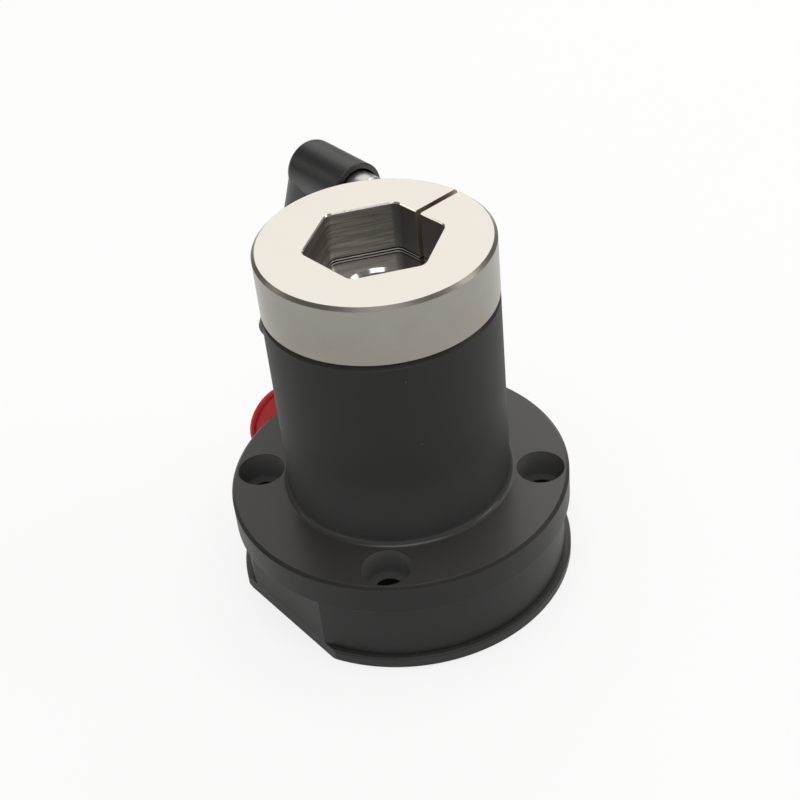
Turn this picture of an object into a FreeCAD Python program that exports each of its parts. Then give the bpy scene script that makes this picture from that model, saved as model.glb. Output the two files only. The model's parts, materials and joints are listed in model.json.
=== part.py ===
import FreeCAD, Part
import math
import os

import Sketcher
from FreeCAD import Placement, Rotation, Vector

# Static torque transducer with a split clamp ring for a 36 mm hexagon adapter.
# The spindle stands in a black flanged housing, carries strain gauges on its thin neck and
# is held against the housing only at its foot, so a torque on the ring twists the neck.
# Frame: +Z is up, the origin is on the spindle axis at the underside of the base plate,
# +X points towards the slot of the ring, and the clamp screw and the connector point to +Y.

doc = FreeCAD.newDocument("TorqueTransducer")

# Driving dimensions in millimetres and degrees
DIMENSIONS = {
    # Housing: mounting flange, lower body and tube
    "flange_diameter": 107.0,
    "flange_thickness": 10.0,
    "flange_top_height": 34.0,
    "flange_bevel": 1.0,
    "body_diameter": 103.0,
    "flat_offset": 48.3,
    "tube_diameter": 70.0,
    "tube_bevel": 1.0,
    "tube_root_radius": 1.8,
    "tube_top_wall": 2.5,
    "tube_bore": 58.0,
    "tube_seam_height": 2.5,
    "tube_socket_depth": 6.0,
    "cavity_diameter": 72.0,
    "cavity_depth": 10.0,
    # Four counterbored mounting holes
    "bolt_circle": 89.0,
    "bolt_angle": 45.0,
    "bolt_hole": 9.0,
    "bolt_counterbore": 15.0,
    "bolt_counterbore_depth": 9.0,
    # Base plate, its screws and its seal
    "plate_diameter": 107.0,
    "plate_thickness": 4.0,
    "plate_bevel": 0.7,
    "plate_screw_circle": 88.0,
    "plate_screw_angle": 20.0,
    "plate_screw_diameter": 4.0,
    "plate_screw_length": 10.0,
    "plate_seal_diameter": 77.0,
    "plate_seal_section": 2.0,
    # Spindle
    "seat_height": 100.0,
    "head_thickness": 14.0,
    "head_clearance": 0.5,
    "head_spigot_diameter": 46.0,
    "head_spigot_height": 3.0,
    "pilot_bore": 19.0,
    "pilot_depth": 14.0,
    "pilot_bevel": 1.0,
    "shoulder_diameter": 43.0,
    "shoulder_height": 3.0,
    "journal_length": 15.0,
    "neck_diameter": 30.0,
    "neck_fillet": 4.0,
    "foot_diameter": 50.0,
    "foot_thickness": 10.0,
    "foot_spigot_diameter": 24.0,
    "foot_spigot_depth": 4.0,
    # Screws and dowels under the spindle's foot
    "foot_screw_circle": 40.0,
    "foot_screw_diameter": 6.0,
    "foot_screw_length": 12.0,
    "dowel_diameter": 5.0,
    "foot_dowel_length": 14.0,
    "cable_hole": 5.0,
    # Bearing, its circlip and the seal above it
    "bearing_bore": 40.0,
    "bearing_outside": 52.0,
    "bearing_width": 7.0,
    "bearing_balls": 18.0,
    "ball_diameter": 4.0,
    "circlip_thickness": 1.75,
    "circlip_depth": 1.25,
    "head_seal_section": 2.4,
    "head_seal_drop": 7.0,
    # Clamp ring
    "ring_diameter": 70.0,
    "ring_height": 19.0,
    "ring_gap": 0.6,
    "ring_bevel": 1.0,
    "hexagon": 36.0,
    "hexagon_corner_radius": 3.0,
    "hexagon_bevel": 0.4,
    "hexagon_foot_gap": 0.3,
    "slot_width": 2.0,
    "slot_offset": 0.85,
    "ring_turn": 2.9,
    "ring_screw_diameter": 5.0,
    "ring_screw_length": 16.0,
    "ring_dowel_length": 10.0,
    # Clamp screw and what is threaded on it
    "clamp_offset": 25.0,
    "clamp_drop": 11.0,
    "clamp_thread": 8.0,
    "clamp_clearance": 0.4,
    "clamp_thread_depth": 19.0,
    "clamp_screw_reach": 17.5,
    "spotface_distance": 14.5,
    "spotface_diameter": 15.0,
    "washer_diameter": 14.4,
    "washer_thickness": 1.5,
    "sleeve_diameter": 13.5,
    "sleeve_length": 17.5,
    # Indexing lever
    "collar_diameter": 13.8,
    "collar_length": 12.8,
    "tooth_count": 24.0,
    "tooth_tip_diameter": 12.2,
    "tooth_root_diameter": 10.8,
    "tooth_length": 3.7,
    "tooth_clearance": 0.1,
    "hub_diameter": 18.6,
    "hub_start": 40.0,
    "hub_end": 66.2,
    "hub_edge_radius": 3.0,
    "hub_recess_diameter": 15.2,
    "hub_web": 4.0,
    "spring_pocket": 10.6,
    "lever_angle": 103.0,
    "lever_tilt": 18.0,
    "lever_root": 60.4,
    "lever_reach": 68.0,
    "lever_root_width": 18.4,
    "lever_tip_width": 8.6,
    "lever_waist_sag": 1.0,
    "lever_screw_diameter": 5.0,
    "lever_screw_head": 9.0,
    "lever_screw_head_height": 3.0,
    "lever_screw_thread": 7.0,
    "lever_screw_sink": 0.6,
    "spring_wire": 0.8,
    "spring_mean_diameter": 7.4,
    "spring_turns": 3.0,
    "spring_play": 0.05,
    # Strain gauges and their cable
    "gauge_height": 50.0,
    "gauge_length": 9.0,
    "gauge_width": 7.0,
    "gauge_thickness": 0.3,
    "cable_diameter": 2.6,
    # Amplifier board in the base
    "board_clearance": 3.0,
    "board_thickness": 1.6,
    "spacer_length": 4.0,
    "spacer_diameter": 5.0,
    "spacer_inset": 4.5,
    "board_screw_diameter": 2.5,
    # Connector in the side of the base
    "connector_height": 17.0,
    "connector_spotface": 26.0,
    "connector_flange": 25.2,
    "connector_flange_thickness": 2.2,
    "connector_flats": 22.0,
    "connector_thread": 18.0,
    "connector_thread_length": 11.0,
    "connector_shell": 21.6,
    "connector_shell_end": 65.1,
    "connector_wall": 1.6,
    "connector_pin_diameter": 1.6,
    "connector_pin_circle": 11.0,
    "gasket_thickness": 0.8,
    # Push-on cap over the connector
    "cap_diameter": 24.6,
    "cap_bead_diameter": 26.8,
    "cap_bead_length": 2.6,
    "cap_wall": 1.4,
    "cap_start": 54.2,
    "cap_end": 68.3,
    # Fits
    "running_clearance": 0.05,
    "touch_clearance": 0.3,
}

sheet = doc.addObject("Spreadsheet::Sheet", "Sizes")
for row, (alias, number) in enumerate(DIMENSIONS.items(), start=1):
    sheet.set(f"A{row}", alias)
    sheet.set(f"B{row}", str(number))
    sheet.setAlias(f"B{row}", alias)
doc.recompute()


class Size:
    """A number that carries the spreadsheet expression it comes from."""

    def __init__(self, number, text):
        self.number = float(number)
        self.text = text

    def __float__(self):
        return self.number

    def __add__(self, other):
        other = as_size(other)
        return Size(self.number + other.number, f"({self.text} + {other.text})")

    def __sub__(self, other):
        other = as_size(other)
        return Size(self.number - other.number, f"({self.text} - {other.text})")

    def __mul__(self, other):
        other = as_size(other)
        return Size(self.number * other.number, f"({self.text} * {other.text})")

    def __truediv__(self, other):
        other = as_size(other)
        return Size(self.number / other.number, f"({self.text} / {other.text})")

    def __radd__(self, other):
        return as_size(other) + self

    def __rsub__(self, other):
        return as_size(other) - self

    def __rmul__(self, other):
        return as_size(other) * self

    def __neg__(self):
        return Size(-self.number, f"(0 - {self.text})")


def as_size(value):
    if isinstance(value, Size):
        return value
    return Size(value, f"({float(value)!r})")


class Cells:
    """Reads the sheet: size.tube_bore is the number in that cell and its expression."""

    def __getattr__(self, alias):
        return Size(getattr(sheet, alias), f"Sizes.{alias}")


size = Cells()


def cosine(angle):
    return Size(math.cos(math.radians(float(angle))), f"cos({as_size(angle).text} * 1 deg)")


def sine(angle):
    return Size(math.sin(math.radians(float(angle))), f"sin({as_size(angle).text} * 1 deg)")


def polar(circle_diameter, angle):
    """The point at this angle on a circle about the axis."""
    return circle_diameter / 2 * cosine(angle), circle_diameter / 2 * sine(angle)


def turned(x, y, angle):
    """The point (x, y) turned about the axis by this angle."""
    return x * cosine(angle) - y * sine(angle), x * sine(angle) + y * cosine(angle)


def bind(thing, path, value):
    """Set one property of a feature by an expression on the sheet."""
    thing.setExpression(path, as_size(value).text)


# Levels along the spindle axis
cavity_roof = size.plate_thickness + size.cavity_depth
web_thickness = 10.0
web_top = cavity_roof + web_thickness
flange_underside = size.flange_top_height - size.flange_thickness
foot_top = web_top + size.foot_thickness
head_underside = size.seat_height - size.head_thickness
bearing_top = head_underside - size.shoulder_height
bearing_bottom = bearing_top - size.bearing_width
journal_bottom = bearing_top - size.journal_length
tube_seam = size.flange_top_height + size.tube_seam_height
tube_socket_floor = size.flange_top_height - size.tube_socket_depth
tube_top = size.seat_height - size.ring_gap
hexagon_floor = size.seat_height + size.head_spigot_height
spindle_end = hexagon_floor - size.hexagon_foot_gap
ring_top = size.seat_height + size.ring_height
head_seal_height = size.seat_height - size.head_seal_drop
board_top = cavity_roof - size.spacer_length

# Radii and circles that several pieces share
tube_socket_radius = (size.tube_diameter + size.tube_bore) / 4
head_bore_radius = size.tube_diameter / 2 - size.tube_top_wall
head_radius = head_bore_radius - size.head_clearance
head_seal_root = head_bore_radius - size.head_seal_section - 0.1
ring_fastener_circle = size.head_spigot_diameter / 2 + head_seal_root
board_radius = size.cavity_diameter / 2 - size.board_clearance
spacer_circle = (board_radius - size.spacer_inset) * 2
journal_radius = size.bearing_bore / 2
bearing_radius = size.bearing_outside / 2
ball_circle_radius = (journal_radius + bearing_radius) / 2
thread_gap = size.running_clearance

# Levels along the clamp screw, measured from the slot
clamp_height = ring_top - size.clamp_drop
washer_end = size.spotface_distance + size.washer_thickness
sleeve_end = washer_end + size.sleeve_length
collar_end = sleeve_end + size.collar_length
teeth_end = collar_end + size.tooth_length
spring_seat = teeth_end + size.hub_web
lever_head_seat = size.hub_end - size.lever_screw_sink - size.lever_screw_head_height

# Levels along the connector, measured from the spindle axis
connector_seat = size.flat_offset + size.gasket_thickness
connector_flange_end = connector_seat + size.connector_flange_thickness

ALONG_Y = Rotation(Vector(1, 0, 0), -90)
HALF_TURN = Rotation(Vector(1, 0, 0), 180)
UPRIGHT = Rotation()

NORMAL = {"XY": 1, "XZ": -1, "YZ": 1}

nodes = []


def set_place(thing, base, rotation):
    """Put a finished piece at base, with its position bound to the sheet."""
    numbers = [float(value) for value in base]
    thing.Placement = Placement(Vector(*numbers), rotation)
    for letter, value in zip("xyz", base):
        bind(thing, f"Placement.Base.{letter}", value)


def edge_between(start, end, radius=None):
    """A line or an arc, and which of its own ends are its first and its last."""
    if radius is None:
        return Part.LineSegment(start, end), (1, 2)
    turn = 1 if float(radius) > 0 else -1
    chord = end - start
    half = chord.Length / 2
    height = math.sqrt(float(radius) ** 2 - half ** 2)
    sideways = Vector(-chord.y, chord.x, 0).normalize() * height * turn
    centre = start + chord * 0.5 + sideways
    circle = Part.Circle(centre, Vector(0, 0, 1), abs(float(radius)))
    first, last = (start, end) if turn > 0 else (end, start)
    angles = [math.atan2(point.y - centre.y, point.x - centre.x) for point in (first, last)]
    return Part.ArcOfCircle(circle, *angles), (1, 2) if turn > 0 else (2, 1)


class Piece:
    """One PartDesign body and the few ways in which its features are drawn."""

    def __init__(self, name, keep=True):
        self.body = doc.addObject("PartDesign::Body", name)
        self.body.Label = name
        if keep:
            nodes.append(self.body)

    def sketch(self, plane, level=0.0):
        """An empty sketch on an origin plane, moved along the axis that the plane faces."""
        sketch = self.body.newObject("Sketcher::SketchObject", "Sketch")
        roles = {feature.Role: feature for feature in self.body.Origin.OriginFeatures}
        sketch.AttachmentSupport = (roles[f"{plane}_Plane"], [""])
        sketch.MapMode = "FlatFace"
        bind(sketch, "AttachmentOffset.Base.z", as_size(level) * NORMAL[plane])
        return sketch

    def place_point(self, sketch, index, position, point):
        """Hold one point of a sketch element at two distances from the origin."""
        kinds = (("DistanceX", -2), ("DistanceY", -1))
        for (kind, axis), value in zip(kinds, point):
            if float(value) == 0.0 and not isinstance(value, Size):
                sketch.addConstraint(Sketcher.Constraint("PointOnObject", index, position, axis))
                continue
            constraint = Sketcher.Constraint(kind, -1, 1, index, position, float(value))
            number = sketch.addConstraint(constraint)
            bind(sketch, f"Constraints[{number}]", value)

    def outline(self, plane, corners, level=0.0):
        """A closed outline through the corners.

        A corner's third value is the radius of the arc that leads to the next corner. The arc
        turns left when the radius is positive and right when it is negative.
        """
        sketch = self.sketch(plane, level)
        points = [Vector(float(corner[0]), float(corner[1]), 0) for corner in corners]
        count = len(points)
        ends = []
        for index, corner in enumerate(corners):
            start = points[index]
            end = points[(index + 1) % count]
            radius = corner[2] if len(corner) == 3 else None
            edge, positions = edge_between(start, end, radius)
            sketch.addGeometry(edge, False)
            ends.append(positions)
        for index in range(count):
            following = (index + 1) % count
            pair = (index, ends[index][1], following, ends[following][0])
            sketch.addConstraint(Sketcher.Constraint("Coincident", *pair))
        for index, corner in enumerate(corners):
            self.place_point(sketch, index, ends[index][0], corner[:2])
            if len(corner) == 3:
                radius = corner[2] if float(corner[2]) > 0 else -corner[2]
                limit = Sketcher.Constraint("Radius", index, float(radius))
                bind(sketch, f"Constraints[{sketch.addConstraint(limit)}]", radius)
        return sketch

    def circles(self, plane, centres, diameter, level=0.0):
        """Equal circles at the given centres."""
        sketch = self.sketch(plane, level)
        radius = as_size(diameter) / 2
        for index, (x, y) in enumerate(centres):
            circle = Part.Circle(Vector(float(x), float(y), 0), Vector(0, 0, 1), float(radius))
            sketch.addGeometry(circle, False)
            self.place_point(sketch, index, 3, (x, y))
            number = sketch.addConstraint(Sketcher.Constraint("Radius", index, float(radius)))
            bind(sketch, f"Constraints[{number}]", radius)
        return sketch

    def feature(self, kind, name):
        feature = self.body.newObject(f"PartDesign::{kind}", name)
        self.body.Tip = feature
        return feature

    def turn(self, corners, kind="Revolution"):
        """Turn a half section of (radius, height) corners about the piece's Z axis."""
        sketch = self.outline("XZ", corners)
        feature = self.feature(kind, kind)
        feature.Profile = sketch
        feature.ReferenceAxis = (sketch, ["V_Axis"])
        feature.Angle = 360
        return feature

    def extrude(self, kind, sketch, plane, length, towards=1):
        """Pad or pocket a sketch by a length towards the plus or minus side of its plane."""
        feature = self.feature(kind, kind)
        feature.Profile = sketch
        bind(feature, "Length", length)
        usual = NORMAL[plane] if kind == "Pad" else -NORMAL[plane]
        feature.Reversed = towards != usual
        return feature

    def drill(self, plane, centres, diameter, start, end):
        """Cut equal round holes between two levels of the plane's axis."""
        sketch = self.circles(plane, centres, diameter, start)
        towards = 1 if float(end) > float(start) else -1
        length = (as_size(end) - start) * towards
        return self.extrude("Pocket", sketch, plane, length, towards)

    def dress(self, kind, edge_test, value):
        """Fillet or chamfer the edges that pass the test."""
        doc.recompute()
        base = self.body.Tip
        names = [
            f"Edge{number}"
            for number, edge in enumerate(base.Shape.Edges, start=1)
            if edge_test(edge)
        ]
        feature = self.feature(kind, kind)
        feature.Base = (base, names)
        bind(feature, "Radius" if kind == "Fillet" else "Size", value)
        return feature

    def at(self, base=(0.0, 0.0, 0.0), rotation=UPRIGHT):
        set_place(self.body, base, rotation)
        return self.body


def near(first, second, slack=1e-3):
    return abs(float(first) - float(second)) < slack


def circle_edge(radius, height):
    """A test for round edges about the Z axis at one height."""

    def test(edge):
        if edge.Degenerated:
            return False
        curve = edge.Curve
        return (
            isinstance(curve, Part.Circle)
            and near(curve.Radius, radius)
            and near(curve.Center.z, height)
        )

    return test


def upright_edge(low, high):
    """A test for straight edges parallel to Z that span these heights."""

    def test(edge):
        box = edge.BoundBox
        flat = box.XLength < 1e-3 and box.YLength < 1e-3
        return flat and near(box.ZMin, low) and near(box.ZMax, high)

    return test


def group(name, master, places, rotation=UPRIGHT):
    """One node made of equal separate solids: links to a master piece, in a compound."""
    links = []
    for base in places:
        link = doc.addObject("App::Link", f"{name}_copy")
        link.LinkedObject = master
        link.LinkTransform = False
        set_place(link, base, rotation)
        links.append(link)
    compound = doc.addObject("Part::Compound", name)
    compound.Label = name
    compound.Links = links
    nodes.append(compound)
    return compound


def ring_of_points(circle_diameter, angles, height):
    return [(*polar(circle_diameter, angle), height) for angle in angles]


def star(tip_diameter, root_diameter, teeth):
    """The corners of a toothed outline with pointed teeth."""
    corners = []
    for tooth in range(teeth):
        corners.append(polar(tip_diameter, 360.0 * tooth / teeth))
        corners.append(polar(root_diameter, 360.0 * (tooth + 0.5) / teeth))
    return corners


BOLT_ANGLES = [size.bolt_angle + quarter * 90 for quarter in range(4)]
PLATE_SCREW_ANGLES = [size.plate_screw_angle + quarter * 90 for quarter in range(4)]
FOOT_SCREW_ANGLES = [60.0 * step for step in range(6)]
FOOT_DOWEL_ANGLES = [90.0, 210.0]
CABLE_HOLE_ANGLE = 330.0
RING_SCREW_ANGLES = [90.0, 180.0, 270.0]
RING_DOWEL_ANGLES = [135.0, 225.0]
SPACER_ANGLES = [30.0, 150.0, 270.0]


def socket_head_screw(name, diameter, length, head_diameter, head_height, key):
    """A cap screw standing on its thread's end, with the underside of its head at zero."""
    screw = Piece(name, keep=False)
    thread = diameter / 2
    bevel = diameter / 8
    screw.turn([
        (0.0, -length),
        (thread - bevel, -length),
        (thread, bevel - length),
        (thread, 0.0),
        (head_diameter / 2, 0.0),
        (head_diameter / 2, head_height - bevel / 2),
        (head_diameter / 2 - bevel / 2, head_height),
        (0.0, head_height),
    ])
    corners = [polar(key * 1.1547, 60.0 * step) for step in range(6)]
    socket = screw.outline("XY", corners, head_height)
    screw.extrude("Pocket", socket, "XY", head_height / 2, -1)
    return screw.at()


def dowel(name, diameter, length):
    """A dowel pin with bevelled ends, standing on zero."""
    pin = Piece(name, keep=False)
    radius = diameter / 2
    bevel = diameter / 10
    pin.turn([
        (0.0, 0.0),
        (radius - bevel, 0.0),
        (radius, bevel),
        (radius, length - bevel),
        (radius - bevel, length),
        (0.0, length),
    ])
    return pin.at()


def make_housing():
    """Mounting flange and lower body in one, with a low neck that takes the tube."""
    housing = Piece("housing")
    flange = size.flange_diameter / 2
    body = size.body_diameter / 2
    tube = size.tube_diameter / 2
    top = size.flange_top_height
    socket = tube_socket_radius + thread_gap
    housing.turn([
        (size.cavity_diameter / 2, size.plate_thickness),
        (body, size.plate_thickness),
        (body, flange_underside),
        (flange, flange_underside),
        (flange, top - size.flange_bevel),
        (flange - size.flange_bevel, top),
        (tube, top),
        (tube, tube_seam),
        (socket, tube_seam),
        (socket, tube_socket_floor),
        (size.tube_bore / 2, tube_socket_floor),
        (size.tube_bore / 2, web_top),
        (size.foot_spigot_diameter / 2, web_top),
        (size.foot_spigot_diameter / 2, cavity_roof),
        (size.cavity_diameter / 2, cavity_roof),
    ])
    housing.dress("Fillet", circle_edge(tube, top), size.tube_root_radius)
    cut_flat(housing, size.plate_thickness, flange_underside)
    bolts = [polar(size.bolt_circle, angle) for angle in BOLT_ANGLES]
    housing.drill("XY", bolts, size.bolt_hole, 0.0, top)
    counterbore_floor = top - size.bolt_counterbore_depth
    housing.drill("XY", bolts, size.bolt_counterbore, top, counterbore_floor)
    plate_screws = [polar(size.plate_screw_circle, angle) for angle in PLATE_SCREW_ANGLES]
    thread = size.plate_screw_diameter + thread_gap * 2
    housing.drill("XY", plate_screws, thread, 0.0, size.plate_screw_length + 2.0)
    groove_middle = size.plate_seal_diameter / 2
    groove_side = size.plate_seal_section / 2 + 0.1
    groove_roof = size.plate_thickness + size.plate_seal_section * 0.95
    housing.turn([
        (groove_middle - groove_side, size.plate_thickness),
        (groove_middle + groove_side, size.plate_thickness),
        (groove_middle + groove_side, groove_roof),
        (groove_middle - groove_side, groove_roof),
    ], "Groove")
    cut_foot_holes(housing)
    cut_connector_port(housing)
    housing.at()


def make_housing_tube():
    """The tube, shrunk into the neck of the flange and bored for the bearing and the head."""
    piece = Piece("housing_tube")
    tube = size.tube_diameter / 2
    bore = size.tube_bore / 2
    chamber_floor = head_underside - 1.0
    seat_floor = journal_bottom - 1.0
    piece.turn([
        (bore, tube_socket_floor),
        (tube_socket_radius, tube_socket_floor),
        (tube_socket_radius, tube_seam),
        (tube, tube_seam),
        (tube, tube_top - size.tube_bevel),
        (tube - size.tube_bevel, tube_top),
        (head_bore_radius, tube_top),
        (head_bore_radius, chamber_floor),
        (bearing_radius, chamber_floor),
        (bearing_radius, seat_floor),
        (bore, seat_floor),
    ])
    piece.at()


def cut_flat(piece, low, high):
    """The flat on the -X side of the lower body and the base plate."""
    beyond = size.plate_diameter / 2 + 5.0
    corners = [
        (-beyond, -beyond),
        (-size.flat_offset, -beyond),
        (-size.flat_offset, beyond),
        (-beyond, beyond),
    ]
    sketch = piece.outline("XY", corners, low)
    piece.extrude("Pocket", sketch, "XY", as_size(high) - low, 1)


def cut_foot_holes(housing):
    """Screws, dowels, the gauge cable and the board spacers all pierce the web."""
    screws = [polar(size.foot_screw_circle, angle) for angle in FOOT_SCREW_ANGLES]
    clearance = size.foot_screw_diameter + 0.6
    head = size.foot_screw_diameter * 1.8
    housing.drill("XY", screws, clearance, cavity_roof, web_top)
    housing.drill("XY", screws, head, cavity_roof, cavity_roof + size.foot_screw_diameter + 0.4)
    pins = [polar(size.foot_screw_circle, angle) for angle in FOOT_DOWEL_ANGLES]
    dowel_bottom = web_top - size.foot_dowel_length / 2
    housing.drill("XY", pins, size.dowel_diameter + thread_gap * 2, web_top, dowel_bottom)
    cable = [polar(size.foot_screw_circle, CABLE_HOLE_ANGLE)]
    housing.drill("XY", cable, size.cable_hole, cavity_roof, web_top)
    spacers = [polar(spacer_circle, angle) for angle in SPACER_ANGLES]
    thread = size.board_screw_diameter + thread_gap * 2
    housing.drill("XY", spacers, thread, cavity_roof, cavity_roof + 6.0)


def cut_connector_port(housing):
    """A spot-faced and bored port for the connector on the +Y side."""
    centre = [(0.0, size.connector_height)]
    beyond = (size.flange_diameter + size.body_diameter) / 2
    housing.drill("XZ", centre, size.connector_spotface, size.flat_offset, beyond)
    bore = size.connector_thread + thread_gap * 2
    inside = size.cavity_diameter / 2 - 4.0
    housing.drill("XZ", centre, bore, size.flat_offset, inside)


def make_base_plate():
    """The plate that closes the base from below."""
    plate = Piece("base_plate")
    radius = size.plate_diameter / 2
    bevel = size.plate_bevel
    thickness = size.plate_thickness
    plate.turn([
        (0.0, 0.0),
        (radius - bevel, 0.0),
        (radius, bevel),
        (radius, thickness - bevel),
        (radius - bevel, thickness),
        (0.0, thickness),
    ])
    cut_flat(plate, 0.0, thickness)
    bolts = [polar(size.bolt_circle, angle) for angle in BOLT_ANGLES]
    plate.drill("XY", bolts, size.bolt_hole, 0.0, thickness)
    screws = [polar(size.plate_screw_circle, angle) for angle in PLATE_SCREW_ANGLES]
    plate.drill("XY", screws, size.plate_screw_diameter + 0.4, 0.0, thickness)
    for x, y in screws:
        cone = plate.feature("SubtractiveCone", "Countersink")
        roles = {feature.Role: feature for feature in plate.body.Origin.OriginFeatures}
        cone.AttachmentSupport = (roles["XY_Plane"], [""])
        cone.MapMode = "FlatFace"
        bind(cone, "Radius1", size.plate_screw_diameter + 0.2)
        bind(cone, "Radius2", size.plate_screw_diameter / 2 + 0.2)
        bind(cone, "Height", size.plate_screw_diameter / 2)
        bind(cone, "AttachmentOffset.Base.x", x)
        bind(cone, "AttachmentOffset.Base.y", y)
    plate.at()


def make_base_plate_screws():
    """Countersunk screws, flush with the underside of the plate."""
    screw = Piece("plate_screw", keep=False)
    thread = size.plate_screw_diameter / 2
    length = size.plate_screw_length
    rim = 0.3
    head = thread * 2 - rim
    screw.turn([
        (0.0, rim),
        (head, rim),
        (thread, thread),
        (thread, length - 0.6),
        (thread - 0.6, length),
        (0.0, length),
    ])
    corners = [polar(thread * 1.4, 60.0 * step) for step in range(6)]
    socket = screw.outline("XY", corners, rim)
    screw.extrude("Pocket", socket, "XY", thread * 0.6, 1)
    screw.at()
    places = ring_of_points(size.plate_screw_circle, PLATE_SCREW_ANGLES, 0.0)
    group("base_plate_screws", screw.body, places)


def o_ring(name, middle_diameter, section, height):
    """A rubber ring of round section, lying in its groove."""
    torus = doc.addObject("Part::Torus", name)
    torus.Label = name
    bind(torus, "Radius1", as_size(middle_diameter) / 2)
    bind(torus, "Radius2", as_size(section) / 2)
    set_place(torus, (0.0, 0.0, height), UPRIGHT)
    nodes.append(torus)


def make_spindle():
    """Foot, strain neck, bearing journal and head, turned from one steel bar."""
    spindle = Piece("spindle")
    foot = size.foot_diameter / 2
    neck = size.neck_diameter / 2
    groove = journal_radius - size.circlip_depth
    circlip_bottom = bearing_bottom - size.circlip_thickness
    seal_half = size.head_seal_section / 2 + 0.1
    pilot = size.pilot_bore / 2
    pilot_floor = spindle_end - size.pilot_depth
    spindle.turn([
        (0.0, web_top - size.foot_spigot_depth),
        (size.foot_spigot_diameter / 2, web_top - size.foot_spigot_depth),
        (size.foot_spigot_diameter / 2, web_top),
        (foot, web_top),
        (foot, foot_top),
        (neck, foot_top),
        (neck, journal_bottom),
        (journal_radius, journal_bottom),
        (journal_radius, circlip_bottom),
        (groove, circlip_bottom),
        (groove, bearing_bottom),
        (journal_radius, bearing_bottom),
        (journal_radius, bearing_top),
        (size.shoulder_diameter / 2, bearing_top),
        (size.shoulder_diameter / 2, head_underside),
        (head_radius, head_underside),
        (head_radius, head_seal_height - seal_half),
        (head_seal_root, head_seal_height - seal_half),
        (head_seal_root, head_seal_height + seal_half),
        (head_radius, head_seal_height + seal_half),
        (head_radius, size.seat_height),
        (size.head_spigot_diameter / 2, size.seat_height),
        (size.head_spigot_diameter / 2, spindle_end),
        (pilot + size.pilot_bevel, spindle_end),
        (pilot, spindle_end - size.pilot_bevel),
        (pilot, pilot_floor),
        (0.0, pilot_floor),
    ])
    spindle.dress("Fillet", circle_edge(neck, foot_top), size.neck_fillet)
    spindle.dress("Fillet", circle_edge(neck, journal_bottom), size.neck_fillet)
    screws = [polar(ring_fastener_circle, angle) for angle in RING_SCREW_ANGLES]
    head_hole = size.ring_screw_diameter * 1.8
    head_depth = head_underside + size.ring_screw_diameter + 0.4
    spindle.drill("XY", screws, head_hole, head_underside, head_depth)
    clearance = size.ring_screw_diameter + 0.5
    spindle.drill("XY", screws, clearance, head_underside, spindle_end)
    pins = [polar(ring_fastener_circle, angle) for angle in RING_DOWEL_ANGLES]
    pin_hole = size.dowel_diameter + thread_gap * 2
    pin_bottom = size.seat_height - size.ring_dowel_length / 2
    spindle.drill("XY", pins, pin_hole, spindle_end, pin_bottom)
    foot_screws = [polar(size.foot_screw_circle, angle) for angle in FOOT_SCREW_ANGLES]
    foot_thread = size.foot_screw_diameter + thread_gap * 2
    spindle.drill("XY", foot_screws, foot_thread, web_top, foot_top - 1.0)
    foot_pins = [polar(size.foot_screw_circle, angle) for angle in FOOT_DOWEL_ANGLES]
    spindle.drill("XY", foot_pins, pin_hole, web_top, web_top + size.foot_dowel_length / 2)
    cable = [polar(size.foot_screw_circle, CABLE_HOLE_ANGLE)]
    spindle.drill("XY", cable, size.cable_hole, web_top, foot_top)
    spindle.at()


def make_foot_fasteners():
    """Six cap screws and two dowels hold the spindle's foot on the web."""
    diameter = size.foot_screw_diameter
    screw = socket_head_screw(
        "foot_screw", diameter, size.foot_screw_length, diameter * 1.6, diameter, 5.0
    )
    head_seat = cavity_roof + diameter + 0.4
    places = ring_of_points(size.foot_screw_circle, FOOT_SCREW_ANGLES, head_seat)
    group("spindle_foot_screws", screw, places, HALF_TURN)
    pin = dowel("foot_dowel", size.dowel_diameter, size.foot_dowel_length - 0.4)
    bottom = web_top - size.foot_dowel_length / 2 + 0.2
    places = ring_of_points(size.foot_screw_circle, FOOT_DOWEL_ANGLES, bottom)
    group("spindle_foot_dowels", pin, places)


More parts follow.
